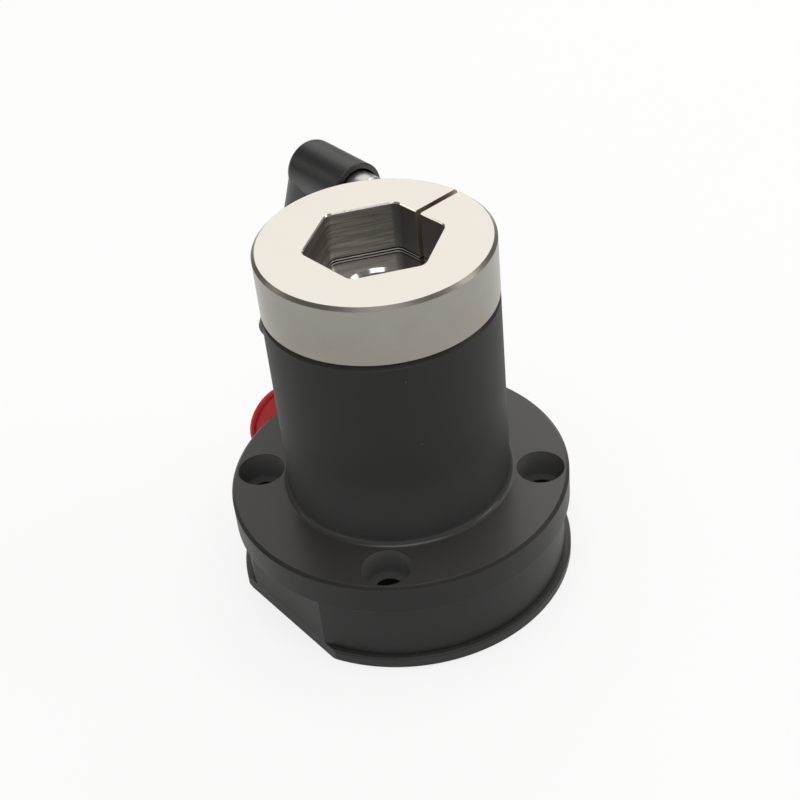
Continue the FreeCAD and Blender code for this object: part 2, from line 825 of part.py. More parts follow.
def make_bearing():
    """A thin ball bearing keeps the head central in the tube without taking torque."""
    ball = size.ball_diameter / 2
    race_gap = 1.0
    middle = (bearing_bottom + bearing_top) / 2
    inner = Piece("bearing_inner_race")
    inner.turn([
        (journal_radius, bearing_bottom),
        (ball_circle_radius - race_gap, bearing_bottom),
        (ball_circle_radius - race_gap, bearing_top),
        (journal_radius, bearing_top),
    ])
    cut_ball_track(inner, middle)
    inner.at()
    outer = Piece("bearing_outer_race")
    outer.turn([
        (ball_circle_radius + race_gap, bearing_bottom),
        (bearing_radius, bearing_bottom),
        (bearing_radius, bearing_top),
        (ball_circle_radius + race_gap, bearing_top),
    ])
    cut_ball_track(outer, middle)
    outer.at()
    count = int(float(size.bearing_balls))
    steel_ball = doc.addObject("Part::Sphere", "steel_ball")
    bind(steel_ball, "Radius", ball)
    places = [
        (*polar(ball_circle_radius * 2, 360.0 * step / count), middle) for step in range(count)
    ]
    group("bearing_balls", steel_ball, places)
    cage = Piece("bearing_cage")
    cage_half = 0.4
    cage_height = ball + 0.6
    cage.turn([
        (ball_circle_radius - cage_half, middle - cage_height),
        (ball_circle_radius + cage_half, middle - cage_height),
        (ball_circle_radius + cage_half, middle + cage_height),
        (ball_circle_radius - cage_half, middle + cage_height),
    ])
    pocket = cage.circles("XZ", [(0.0, middle)], size.ball_diameter + 0.3)
    hole = cage.extrude("Pocket", pocket, "XZ", bearing_radius, 1)
    doc.recompute()
    pattern = cage.feature("PolarPattern", "Pockets")
    pattern.Originals = [hole]
    roles = {feature.Role: feature for feature in cage.body.Origin.OriginFeatures}
    pattern.Axis = (roles["Z_Axis"], [""])
    pattern.Angle = 360
    pattern.Occurrences = count
    cage.body.Tip = pattern
    quarter = Rotation(Vector(0, 0, 1), 90.0)
    cage.at(rotation=quarter.inverted())


def cut_ball_track(race, middle):
    """The round track that the balls run in."""
    cutter = race.feature("Groove", "Track")
    sketch = race.circles(
        "XZ", [(ball_circle_radius, middle)], size.ball_diameter + thread_gap * 2
    )
    cutter.Profile = sketch
    cutter.ReferenceAxis = (sketch, ["V_Axis"])
    cutter.Angle = 360


def make_circlip():
    """The open spring ring that holds the bearing up against its shoulder."""
    circlip = Piece("bearing_circlip")
    inner = journal_radius - size.circlip_depth
    outer = journal_radius + 1.4
    bottom = bearing_bottom - size.circlip_thickness
    circlip.turn([
        (inner, bottom),
        (outer, bottom),
        (outer, bearing_bottom),
        (inner, bearing_bottom),
    ])
    gap = 3.0
    corners = [
        (inner - 1.0, -gap),
        (outer + 1.0, -gap),
        (outer + 1.0, gap),
        (inner - 1.0, gap),
    ]
    sketch = circlip.outline("XY", corners, bottom)
    circlip.extrude("Pocket", sketch, "XY", size.circlip_thickness, 1)
    circlip.at()


def make_clamp_ring():
    """The split ring with the hexagon, which the lever draws tight on the adapter."""
    ring = Piece("clamp_ring")
    radius = size.ring_diameter / 2
    bevel = size.ring_bevel
    lower_bevel = 0.4
    recess = size.head_spigot_diameter / 2 + thread_gap
    ring.turn([
        (0.0, hexagon_floor),
        (recess, hexagon_floor),
        (recess, size.seat_height),
        (radius - lower_bevel, size.seat_height),
        (radius, size.seat_height + lower_bevel),
        (radius, ring_top - bevel),
        (radius - bevel, ring_top),
        (0.0, ring_top),
    ])
    across_corners = size.hexagon / cosine(30)
    corners = [polar(across_corners, size.ring_turn + (30 + 60 * step)) for step in range(6)]
    hexagon = ring.outline("XY", corners, ring_top)
    ring.extrude("Pocket", hexagon, "XY", size.ring_height, -1)
    corner_edges = upright_edge(hexagon_floor, ring_top)
    ring.dress("Fillet", corner_edges, size.hexagon_corner_radius)

    def mouth_edge(edge):
        box = edge.BoundBox
        level = near(box.ZMin, ring_top) and near(box.ZMax, ring_top)
        reach = max(abs(box.XMin), abs(box.XMax), abs(box.YMin), abs(box.YMax))
        return level and reach < float(across_corners) / 2 + 0.1

    ring.dress("Chamfer", mouth_edge, size.hexagon_bevel)
    low_side = size.slot_offset - size.slot_width / 2
    high_side = size.slot_offset + size.slot_width / 2
    beyond = radius + 1.0
    slot = ring.outline(
        "XY",
        [
            turned(0.0, low_side, size.ring_turn),
            turned(beyond, low_side, size.ring_turn),
            turned(beyond, high_side, size.ring_turn),
            turned(0.0, high_side, size.ring_turn),
        ],
        ring_top + 1.0,
    )
    ring.extrude("Pocket", slot, "XY", size.ring_height + 2.0, -1)
    cut_clamp_holes(ring)
    screws = [polar(ring_fastener_circle, angle) for angle in RING_SCREW_ANGLES]
    thread = size.ring_screw_diameter + thread_gap * 2
    ring.drill("XY", screws, thread, size.seat_height, size.seat_height + 9.0)
    pins = [polar(ring_fastener_circle, angle) for angle in RING_DOWEL_ANGLES]
    pin_hole = size.dowel_diameter + thread_gap * 2
    pin_top = size.seat_height + size.ring_dowel_length / 2
    ring.drill("XY", pins, pin_hole, size.seat_height, pin_top)
    ring.at()


def cut_clamp_holes(ring):
    """The clamp screw passes freely on the lever's side and bites on the other."""
    centre = [(size.clamp_offset, clamp_height)]
    beyond = size.ring_diameter / 2 + 1.0
    free = size.clamp_thread + size.clamp_clearance
    ring.drill("XZ", centre, size.spotface_diameter, size.spotface_distance, beyond)
    along = size.clamp_offset * sine(size.ring_turn)
    slot_middle = (size.slot_offset + along) / cosine(size.ring_turn)
    ring.drill("XZ", centre, free, slot_middle, size.spotface_distance)
    thread = size.clamp_thread + thread_gap * 2
    ring.drill("XZ", centre, thread, slot_middle, -size.clamp_thread_depth)


def make_ring_fasteners():
    """Three cap screws from below and two dowels hold the ring on the head."""
    diameter = size.ring_screw_diameter
    screw = socket_head_screw(
        "ring_screw", diameter, size.ring_screw_length, diameter * 1.6, diameter, 4.0
    )
    head_seat = head_underside + diameter + 0.4
    places = ring_of_points(ring_fastener_circle, RING_SCREW_ANGLES, head_seat)
    group("clamp_ring_screws", screw, places, HALF_TURN)
    pin = dowel("ring_dowel", size.dowel_diameter, size.ring_dowel_length - 0.4)
    bottom = size.seat_height - size.ring_dowel_length / 2 + 0.2
    places = ring_of_points(ring_fastener_circle, RING_DOWEL_ANGLES, bottom)
    group("clamp_ring_dowels", pin, places)


def tube_piece(name, inner, outer, start, end, bevel=0.3):
    """A plain turned sleeve on the clamp screw's axis."""
    sleeve = Piece(name)
    sleeve.turn([
        (inner, start),
        (outer - bevel, start),
        (outer, start + bevel),
        (outer, end - bevel),
        (outer - bevel, end),
        (inner, end),
    ])
    return sleeve


def make_clamp_stack():
    """Thrust washer and spacer sleeve between the ring and the lever."""
    base = (size.clamp_offset, 0.0, clamp_height)
    inner = size.clamp_thread / 2 + size.running_clearance * 2
    washer_radius = size.washer_diameter / 2
    washer = tube_piece("thrust_washer", inner, washer_radius, size.spotface_distance, washer_end)
    washer.at(base, ALONG_Y)
    sleeve = tube_piece("spacer_sleeve", inner, size.sleeve_diameter / 2, washer_end, sleeve_end)
    sleeve.at(base, ALONG_Y)


def make_clamp_screw():
    """Threaded shank, collar and toothed end in one steel piece."""
    screw = Piece("clamp_screw")
    thread = size.clamp_thread / 2
    collar = size.collar_diameter / 2
    tapped = size.lever_screw_diameter / 2 + thread_gap
    tap_floor = teeth_end - size.lever_screw_thread - 1.0
    screw.turn([
        (0.0, -size.clamp_screw_reach),
        (thread - 1.0, -size.clamp_screw_reach),
        (thread, 1.0 - size.clamp_screw_reach),
        (thread, sleeve_end),
        (collar - 0.4, sleeve_end),
        (collar, sleeve_end + 0.4),
        (collar, collar_end),
        (0.0, collar_end),
    ])
    teeth = int(float(size.tooth_count))
    crown = screw.outline(
        "XY", star(size.tooth_tip_diameter, size.tooth_root_diameter, teeth), collar_end
    )
    screw.extrude("Pad", crown, "XY", size.tooth_length, 1)
    screw.drill("XY", [(0.0, 0.0)], tapped * 2, teeth_end, tap_floor)
    screw.at((size.clamp_offset, 0.0, clamp_height), lever_rotation())


def lever_rotation():
    """Local Z along the clamp screw, local X along the arm as it hangs."""
    return Rotation(Vector(0, 1, 0), float(size.lever_angle)) * ALONG_Y


def make_lever_handle():
    """Moulded hub and tapering arm of the indexing lever."""
    lever = Piece("lever_handle")
    hub = size.hub_diameter / 2
    start = size.hub_start
    end = size.hub_end
    lever.turn([
        (0.0, start),
        (hub - 0.4, start),
        (hub, start + 0.4),
        (hub, end),
        (0.0, end),
    ])
    lever.dress("Fillet", circle_edge(hub, end), size.hub_edge_radius)
    arm_root = size.lever_root_width / 2
    arm_tip = size.lever_tip_width / 2
    steps = 5
    side = []
    for step in range(steps):
        part = step / steps
        taper = (arm_root - arm_tip) * part
        sag = size.lever_waist_sag * (4 * part * (1 - part))
        side.append((size.lever_reach * part, arm_root - taper - sag))
    sketch = lever.outline("XZ", [
        (0.0, 0.0),
        *side,
        (size.lever_reach, arm_tip, -arm_tip),
        (size.lever_reach + arm_tip, 0.0),
    ])
    sketch.AttachmentOffset = Placement(Vector(), Rotation(Vector(0, 0, 1), 1.0))
    bind(sketch, "AttachmentOffset.Base.y", size.lever_root)
    bind(sketch, "AttachmentOffset.Rotation.Angle", size.lever_tilt)
    arm = lever.feature("Revolution", "Arm")
    arm.Profile = sketch
    arm.ReferenceAxis = (sketch, ["H_Axis"])
    arm.Angle = 360
    recess = size.hub_recess_diameter / 2
    recess_floor = collar_end + size.touch_clearance
    web_floor = teeth_end
    web_hole = size.lever_screw_diameter / 2 + size.running_clearance * 2
    pocket = size.spring_pocket / 2
    lever.turn([
        (0.0, start - 1.0),
        (recess, start - 1.0),
        (recess, recess_floor),
        (web_hole, recess_floor),
        (web_hole, spring_seat),
        (pocket, spring_seat),
        (pocket, end + 8.0),
        (0.0, end + 8.0),
    ], "Groove")
    teeth = int(float(size.tooth_count))
    wider = size.tooth_clearance * 2
    socket = lever.outline(
        "XY",
        star(size.tooth_tip_diameter + wider, size.tooth_root_diameter + wider, teeth),
        recess_floor,
    )
    lever.extrude("Pocket", socket, "XY", web_floor - recess_floor, 1)
    lever.at((size.clamp_offset, 0.0, clamp_height), lever_rotation())


def make_lever_screw():
    """The button screw that keeps the lever and its spring on the toothed end."""
    screw = Piece("lever_screw")
    thread = size.lever_screw_diameter / 2
    head = size.lever_screw_head / 2
    top = lever_head_seat + size.lever_screw_head_height
    bottom = teeth_end - size.lever_screw_thread
    screw.turn([
        (0.0, bottom),
        (thread - 0.5, bottom),
        (thread, bottom + 0.5),
        (thread, lever_head_seat),
        (head, lever_head_seat),
        (head, top - 1.4),
        (head - 0.5, top - 0.5),
        (head - 1.5, top),
        (0.0, top),
    ])
    corners = [polar(size.lever_screw_diameter * 0.7, 60.0 * step) for step in range(6)]
    socket = screw.outline("XY", corners, top)
    screw.extrude("Pocket", socket, "XY", size.lever_screw_head_height * 0.6, -1)
    screw.at((size.clamp_offset, 0.0, clamp_height), ALONG_Y)


def make_lever_spring():
    """The coil spring that holds the lever down on the teeth."""
    spring = Piece("lever_spring")
    wire = size.spring_wire
    coil_height = lever_head_seat - spring_seat - wire - size.spring_play * 2
    first_turn = spring_seat + wire / 2 + size.spring_play
    middle = size.spring_mean_diameter / 2
    section = spring.circles("XZ", [(middle, first_turn)], wire)
    coil = spring.feature("AdditiveHelix", "Coil")
    coil.Profile = section
    coil.ReferenceAxis = (section, ["V_Axis"])
    coil.Mode = "pitch-height-angle"
    bind(coil, "Pitch", coil_height / size.spring_turns)
    bind(coil, "Height", coil_height)
    spring.at((size.clamp_offset, 0.0, clamp_height), ALONG_Y)


def make_strain_gauges():
    """Four foil gauges, a quarter turn apart round the neck."""
    gauge = Piece("strain_gauge", keep=False)
    inner = size.neck_diameter / 2
    outer = inner + size.gauge_thickness
    low = size.gauge_height - size.gauge_length / 2
    high = size.gauge_height + size.gauge_length / 2
    gauge.turn([(inner, low), (outer, low), (outer, high), (inner, high)])
    half = size.gauge_width / 2
    far = as_size(outer) + 1.0
    for side in (-1, 1):
        corners = [
            (-far, half * side),
            (far, half * side),
            (far, far * side),
            (-far, far * side),
        ]
        sketch = gauge.outline("XY", corners, low)
        gauge.extrude("Pocket", sketch, "XY", high - low, 1)
    behind = gauge.outline("XY", [(-far, -far), (0.0, -far), (0.0, far), (-far, far)], low)
    gauge.extrude("Pocket", behind, "XY", high - low, 1)
    gauge.at()
    links = []
    for quarter in range(4):
        link = doc.addObject("App::Link", "strain_gauge_copy")
        link.LinkedObject = gauge.body
        link.LinkTransform = False
        link.Placement = Placement(Vector(), Rotation(Vector(0, 0, 1), 45.0 + 90.0 * quarter))
        links.append(link)
    compound = doc.addObject("Part::Compound", "strain_gauges")
    compound.Label = "strain_gauges"
    compound.Links = links
    nodes.append(compound)


def make_gauge_cable():
    """The gauges' cable drops through the spindle's foot and the web to the board."""
    cable = Piece("gauge_cable")
    centre = [polar(size.foot_screw_circle, CABLE_HOLE_ANGLE)]
    top = size.gauge_height - size.gauge_length / 2 - 1.0
    bottom = board_top
    sketch = cable.circles("XY", centre, size.cable_diameter, bottom)
    cable.extrude("Pad", sketch, "XY", top - bottom, 1)
    cable.at()


def make_board():
    """Round amplifier board with its parts, hung from the web on three spacers."""
    board = Piece("amplifier_board")
    bottom = board_top - size.board_thickness
    sketch = board.circles("XY", [(0.0, 0.0)], board_radius * 2, bottom)
    board.extrude("Pad", sketch, "XY", size.board_thickness, 1)
    holes = [polar(spacer_circle, angle) for angle in SPACER_ANGLES]
    board.drill("XY", holes, size.board_screw_diameter + 0.3, bottom, board_top)
    board.at()
    spacer = Piece("board_spacer", keep=False)
    inner = size.board_screw_diameter / 2 + 0.1
    outer = size.spacer_diameter / 2
    spacer.turn([
        (inner, 0.0),
        (outer, 0.0),
        (outer, size.spacer_length),
        (inner, size.spacer_length),
    ])
    spacer.at()
    places = ring_of_points(spacer_circle, SPACER_ANGLES, board_top)
    group("board_spacers", spacer.body, places)
    diameter = size.board_screw_diameter
    length = size.board_thickness + size.spacer_length + 4.0
    screw = socket_head_screw("board_screw", diameter, length, diameter * 1.8, as_size(1.5), 1.5)
    places = ring_of_points(spacer_circle, SPACER_ANGLES, bottom)
    group("board_screws", screw, places, HALF_TURN)


def block(name, centre, extent, bottom):
    """A moulded part of rectangular plan, with its upper edges bevelled."""
    piece = Piece(name, keep=False)
    half_x = extent[0] / 2
    half_y = extent[1] / 2
    corners = [(-half_x, -half_y), (half_x, -half_y), (half_x, half_y), (-half_x, half_y)]
    sketch = piece.outline("XY", corners, 0.0)
    piece.extrude("Pad", sketch, "XY", extent[2], 1)
    piece.at((centre[0], centre[1], bottom))
    return piece.body


BOARD_PARTS = {
    "amplifier_chip": ((-12.0, 6.0), (7.0, 7.0, 1.6)),
    "converter_chip": ((4.0, -12.0), (9.0, 6.0, 1.4)),
    "memory_chip": ((14.0, 8.0), (5.0, 4.0, 1.2)),
    "reference_can": ((-8.0, -14.0), (4.0, 4.0, 2.0)),
}


def make_board_parts():
    """Chips and the plug-in header on the lower face of the board."""
    bottom = board_top - size.board_thickness
    blocks = []
    for name, (centre, extent) in BOARD_PARTS.items():
        blocks.append(block(name, centre, extent, bottom - extent[2]))
    compound = doc.addObject("Part::Compound", "board_parts")
    compound.Label = "board_parts"
    compound.Links = blocks
    nodes.append(compound)
    header = Piece("board_header")
    corners = [(-8.0, 22.0), (8.0, 22.0), (8.0, 27.0), (-8.0, 27.0)]
    sketch = header.outline("XY", corners, board_top)
    header.extrude("Pad", sketch, "XY", 3.0, 1)
    inside = [(-7.2, 22.8), (7.2, 22.8), (7.2, 26.2), (-7.2, 26.2)]
    sketch = header.outline("XY", inside, board_top + 3.0)
    header.extrude("Pocket", sketch, "XY", 2.2, -1)
    header.at()


def make_connector():
    """Screw-in receptacle: shell, insulator, pins and flat gasket."""
    base = (0.0, 0.0, size.connector_height)
    shell = Piece("connector_shell")
    thread = size.connector_thread / 2
    flange = size.connector_flange / 2
    outside = size.connector_shell / 2
    inside = outside - size.connector_wall
    back = connector_seat - size.connector_thread_length
    front = size.connector_shell_end
    cup_floor = connector_flange_end
    shell.turn([
        (thread - 2.0, back),
        (thread, back),
        (thread, connector_seat),
        (flange, connector_seat),
        (flange, connector_flange_end),
        (outside, connector_flange_end),
        (outside, front - 0.6),
        (outside - 0.6, front),
        (inside, front),
        (inside, cup_floor),
        (thread - 2.0, cup_floor),
    ])
    across = size.connector_flats / 2
    far = flange + 1.0
    for side in (-1, 1):
        corners = [
            (across * side, -far),
            (far * side, -far),
            (far * side, far),
            (across * side, far),
        ]
        sketch = shell.outline("XY", corners, connector_seat)
        shell.extrude("Pocket", sketch, "XY", size.connector_flange_thickness, 1)
    shell.at(base, ALONG_Y)
    insert = Piece("connector_insert")
    insert.turn([
        (0.0, back),
        (thread - 2.0, back),
        (thread - 2.0, cup_floor),
        (inside - 0.1, cup_floor),
        (inside - 0.1, cup_floor + 3.0),
        (0.0, cup_floor + 3.0),
    ])
    pins = connector_pin_places()
    pin_hole = size.connector_pin_diameter + thread_gap * 2
    insert.drill("XY", pins, pin_hole, back, cup_floor + 3.0)
    insert.at(base, ALONG_Y)
    pin = dowel("connector_pin", size.connector_pin_diameter, size.connector_thread_length + 10.0)
    places = [(x, back - 1.0, size.connector_height - y) for x, y in pins]
    group("connector_pins", pin, places, ALONG_Y)
    gasket = Piece("connector_gasket")
    gasket.turn([
        (thread + 0.1, size.flat_offset),
        (flange - 0.4, size.flat_offset),
        (flange - 0.4, connector_seat),
        (thread + 0.1, connector_seat),
    ])
    gasket.at(base, ALONG_Y)


def connector_pin_places():
    """Eight contacts round the insulator and one in its middle."""
    around = [polar(size.connector_pin_circle, 22.5 + 45.0 * step) for step in range(8)]
    return around + [(as_size(0.0), as_size(0.0))]


def make_connector_cap():
    """Soft push-on cap with a bead round its closed end."""
    cap = Piece("connector_cap")
    outer = size.cap_diameter / 2
    bead = size.cap_bead_diameter / 2
    inner = size.connector_shell / 2 + size.running_clearance
    start = size.cap_start
    end = size.cap_end
    bead_start = end - size.cap_bead_length
    floor = end - size.cap_wall * 1.6
    dish = 0.6
    cap.turn([
        (inner, start),
        (outer - 0.5, start),
        (outer - 0.3, start + 0.5),
        (outer, bead_start),
        (bead - 0.6, bead_start),
        (bead, bead_start + 0.6),
        (bead, end - 0.8),
        (bead - 0.8, end),
        (bead - 2.2, end),
        (bead - 2.8, end - dish),
        (0.0, end - dish),
        (0.0, floor),
        (inner, floor),
    ])
    cap.at((0.0, 0.0, size.connector_height), ALONG_Y)


make_housing()
make_housing_tube()
make_base_plate()
o_ring("base_plate_seal", size.plate_seal_diameter, size.plate_seal_section * 0.9,
       size.plate_thickness + size.plate_seal_section * 0.46)
make_base_plate_screws()
make_spindle()
make_foot_fasteners()
make_bearing()
make_circlip()
o_ring("head_seal", (head_bore_radius - size.head_seal_section / 2 - 0.05) * 2,
       size.head_seal_section, head_seal_height)
make_clamp_ring()
make_ring_fasteners()
make_clamp_stack()
make_clamp_screw()
make_lever_handle()
make_lever_screw()
make_lever_spring()
make_strain_gauges()
make_gauge_cable()
make_board()
make_board_parts()
make_connector()
make_connector_cap()

doc.recompute()


def check_document():
    """Stop if any feature failed or any piece is not a sound solid."""
    for thing in doc.Objects:
        if "Invalid" in thing.State or "Error" in thing.State:
            raise RuntimeError(f"{thing.Name} ({thing.Label}) failed: {thing.State}")
    for node in nodes:
        shape = node.Shape
        if shape.isNull() or not shape.isValid() or not shape.Solids:
            raise RuntimeError(f"{node.Label} is not a valid solid")


def write_parts():
    """Write each piece to a STEP file named after it."""
    os.makedirs("parts", exist_ok=True)
    for node in nodes:
        box = node.Shape.BoundBox
        span = f"{box.XLength:.1f} x {box.YLength:.1f} x {box.ZLength:.1f}"
        print(f"{node.Label:24s} {len(node.Shape.Solids):3d} solids  {span} mm")
        node.Shape.exportStep(f"parts/{node.Label}.step")


check_document()
write_parts()
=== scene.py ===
# %% [markdown]
# # A torque transducer on a white table
# The object is a black anodised housing with a bright split ring on top. A hexagon goes through
# the ring, an indexing lever draws the ring tight, and a red cap covers the connector.
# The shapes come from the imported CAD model, which is the fixed frame here. This lesson adds the
# camera, the light, the surface finishes, and the small repeated parts that CAD leaves plain.

import json
import math

import bmesh
import bpy
from mathutils import Matrix, Vector


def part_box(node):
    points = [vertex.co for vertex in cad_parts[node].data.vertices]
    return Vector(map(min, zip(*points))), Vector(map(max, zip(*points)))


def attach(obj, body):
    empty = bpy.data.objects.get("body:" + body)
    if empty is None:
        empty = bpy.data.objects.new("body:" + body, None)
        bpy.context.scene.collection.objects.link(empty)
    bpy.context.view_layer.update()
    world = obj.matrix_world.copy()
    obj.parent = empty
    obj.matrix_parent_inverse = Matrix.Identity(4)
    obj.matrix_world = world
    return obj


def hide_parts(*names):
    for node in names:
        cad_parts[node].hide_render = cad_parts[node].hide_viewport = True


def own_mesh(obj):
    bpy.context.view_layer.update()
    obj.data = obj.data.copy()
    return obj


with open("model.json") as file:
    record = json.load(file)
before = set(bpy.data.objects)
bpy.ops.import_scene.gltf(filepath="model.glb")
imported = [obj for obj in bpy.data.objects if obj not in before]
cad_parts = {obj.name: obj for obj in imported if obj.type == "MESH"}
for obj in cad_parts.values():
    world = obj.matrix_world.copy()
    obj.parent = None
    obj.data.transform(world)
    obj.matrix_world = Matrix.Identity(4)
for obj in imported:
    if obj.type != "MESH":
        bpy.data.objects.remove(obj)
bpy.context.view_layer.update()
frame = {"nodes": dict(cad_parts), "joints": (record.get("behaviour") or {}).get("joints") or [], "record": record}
nodes = frame["nodes"]
millimetre = 0.001

# %% [markdown]
# ## The camera
# The photograph looks down on the object from about 38 degrees. The numbers come from a
# perspective fit to the ellipses of the ring, the tube, the flange and the holes. A lens without
# any shift is enough, so the other views stay centred as well.

# %% Place the camera
photo_width = 800.0
lens_in_pixels = 1463.486
camera_place = Vector((-0.2075566, -0.2872778, 0.3338943))
heading, dip, roll = 0.938135, 0.656087, -0.10831
forward = Vector((
    math.cos(dip) * math.cos(heading),
    math.cos(dip) * math.sin(heading),
    -math.sin(dip),
))
level_right = Vector((math.sin(heading), -math.cos(heading), 0.0))
level_up = level_right.cross(forward)
right = math.cos(roll) * level_right + math.sin(roll) * level_up
up = -math.sin(roll) * level_right + math.cos(roll) * level_up
lens = bpy.data.cameras.new("photo_camera")
lens.sensor_width = 36.0
lens.lens = lens_in_pixels / photo_width * lens.sensor_width
lens.clip_start = 0.01
camera = bpy.data.objects.new("photo_camera", lens)
turn = Matrix((right, up, -forward)).transposed()
camera.matrix_world = Matrix.Translation(camera_place) @ turn.to_4x4()
bpy.context.scene.collection.objects.link(camera)
bpy.context.scene.camera = camera
print("lens", round(lens.lens, 2), "mm")

# %% [markdown]
# ## Shader sums in plain Python
# A finish is easier to read as a formula than as a drawing of boxes. `Field` wraps one socket,
# so `1 - mask` or `grain * 0.3` adds the Math nodes by itself. `Finish.node` adds every other
# node: first its settings, then the values or links of its sockets.

# %% Field and Finish
class Field:
    """One socket of a node tree, usable in arithmetic."""

    def __init__(self, finish, socket):
        self.finish = finish
        self.socket = socket

    def math(self, operation, *values):
        """The result of one Math node."""
        settings = {"operation": operation}
        return self.finish.node("ShaderNodeMath", settings, dict(enumerate(values)))

    def __add__(self, other):
        return self.math("ADD", self, other)

    __radd__ = __add__

    def __mul__(self, other):
        return self.math("MULTIPLY", self, other)

    __rmul__ = __mul__

    def __sub__(self, other):
        return self.math("SUBTRACT", self, other)

    def __rsub__(self, other):
        return self.math("SUBTRACT", other, self)

    def __abs__(self):
        return self.math("ABSOLUTE", self)

    def root(self):
        return self.math("SQRT", self)

    def between(self, low, high):
        """0 below low, 1 above high, and a soft step between them."""
        settings = {"interpolation_type": "SMOOTHSTEP"}
        values = {"Value": self, "From Min": low, "From Max": high}
        return self.finish.node("ShaderNodeMapRange", settings, values)

    def band(self, low, high, soft):
        """1 from low to high, with a soft step at either end."""
        return self.between(low, low + soft) * (1 - self.between(high - soft, high))


class Finish:
    """A material under construction."""

    def __init__(self, name):
        self.material = bpy.data.materials.new(name)
        self.material.use_nodes = True
        self.tree = self.material.node_tree
        self.tree.nodes.clear()

    def node(self, kind, settings=None, values=None, output=0):
        """Any node: its settings first, then the values or links of its sockets."""
        made = self.tree.nodes.new(kind)
        for name, value in (settings or {}).items():
            setattr(made, name, value)
        for name, value in (values or {}).items():
            if isinstance(value, Field):
                self.tree.links.new(value.socket, made.inputs[name])
            else:
                made.inputs[name].default_value = value
        return Field(self, made.outputs[output]) if made.outputs else made

    def parts(self, vector):
        """The three numbers of a vector."""
        made = self.tree.nodes.new("ShaderNodeSeparateXYZ")
        self.tree.links.new(vector.socket, made.inputs[0])
        return [Field(self, made.outputs[index]) for index in range(3)]

    def mix(self, factor, first, second):
        """A blend of two colours."""
        values = {0: factor, 6: rgba(first), 7: rgba(second)}
        return self.node("ShaderNodeMix", {"data_type": "RGBA"}, values, 2)

    def scaled(self, colour, factor):
        """A colour made lighter or darker by a number."""
        values = {0: colour, "Scale": factor}
        return self.node("ShaderNodeVectorMath", {"operation": "SCALE"}, values)

    def shade(self, constants, fields):
        """The surface itself: fixed numbers first, then what changes over the surface."""
        surface = self.node("ShaderNodeBsdfPrincipled", {}, {**constants, **fields})
        self.node("ShaderNodeOutputMaterial", {}, {"Surface": surface})
        return self.material


def rgba(colour):
    """A colour as a socket takes it: a link as it is, or four numbers."""
    if isinstance(colour, Field):
        return colour
    return (*colour, 1.0)


print("Field and Finish are ready")

# %% [markdown]
# ## What the finishes measure
# The pieces are turned, so most patterns depend on the distance from an axis and on the height
# along it. `Surface` reads them from Object coordinates, which here are the frame's own metres.
# It also says how much a face looks along that axis.

# %% Measures on a turned piece
class Surface:
    """Position and direction on a piece that was turned about an axis."""

    def __init__(self, finish, axis="z", centre=(0.0, 0.0, 0.0)):
        self.finish = finish
        self.place = finish.node("ShaderNodeTexCoord", output="Object")
        self.normal = finish.node("ShaderNodeTexCoord", output="Normal")
        moved = finish.node(
            "ShaderNodeVectorMath", {"operation": "SUBTRACT"}, {0: self.place, 1: centre}
        )
        offset = dict(zip("xyz", finish.parts(moved)))
        direction = dict(zip("xyz", finish.parts(self.normal)))
        across = [offset[name] for name in "xyz" if name != axis]
        self.along = offset[axis]
        self.facing = direction[axis]
        self.radius = (across[0] * across[0] + across[1] * across[1]).root()
        self.end_face = abs(self.facing).between(0.75, 0.95)
        self.upright = 1 - abs(self.facing).between(0.2, 0.5)

    def noise(self, scale, detail=3.0, roughness=0.55, vector=None):
        """Soft clouds or fine grain, depending on the scale."""
        values = {
            "Vector": vector or self.place,
            "Scale": scale,
            "Detail": detail,
            "Roughness": roughness,
        }
        return self.finish.node("ShaderNodeTexNoise", {}, values)

    def lines(self, position, scale):
        """Noise that changes along one measure only, like the marks of a tool."""
        values = {"W": position, "Scale": scale, "Detail": 4.0, "Roughness": 0.7}
        return self.finish.node("ShaderNodeTexNoise", {"noise_dimensions": "1D"}, values)

    def tool_marks(self, scale):
        """Rings on an end face, bands on a cylinder."""
        rings = self.lines(self.radius, scale)
        bands = self.lines(self.along, scale)
        return rings * self.end_face + bands * (1 - self.end_face)

    def soft_edge(self, width):
        """The direction of the surface with its edges rounded by a small width."""
        settings = {"samples": 4}
        return self.finish.node("ShaderNodeBevel", settings, {"Radius": width})

    def edge(self, rounded):
        """1 on an edge and 0 away from it."""
        settings = {"operation": "DOT_PRODUCT"}
        true_normal = self.finish.node("ShaderNodeNewGeometry", output="Normal")
        agreement = self.finish.node(
            "ShaderNodeVectorMath", settings, {0: rounded, 1: true_normal}, "Value"
        )
        return 1 - agreement.between(0.90, 0.995)

    def specks(self, scale, share):
        """A few random dots: dust or pits."""
        values = {"Vector": self.place, "Scale": scale}
        near = self.finish.node("ShaderNodeTexVoronoi", {}, values, "Distance")
        colour = self.finish.node("ShaderNodeTexVoronoi", {}, values, "Color")
        chosen = self.finish.parts(colour)[0].between(1.0 - share, 1.0 - share + 0.001)
        return chosen * (1 - near.between(0.06, 0.12))

    def bump(self, height, depth, normal):
        """The rounded normal with a fine relief on top."""
        values = {"Height": height, "Distance": depth, "Strength": 1.0, "Normal": normal}
        return self.finish.node("ShaderNodeBump", {}, values)


print("measures are ready")
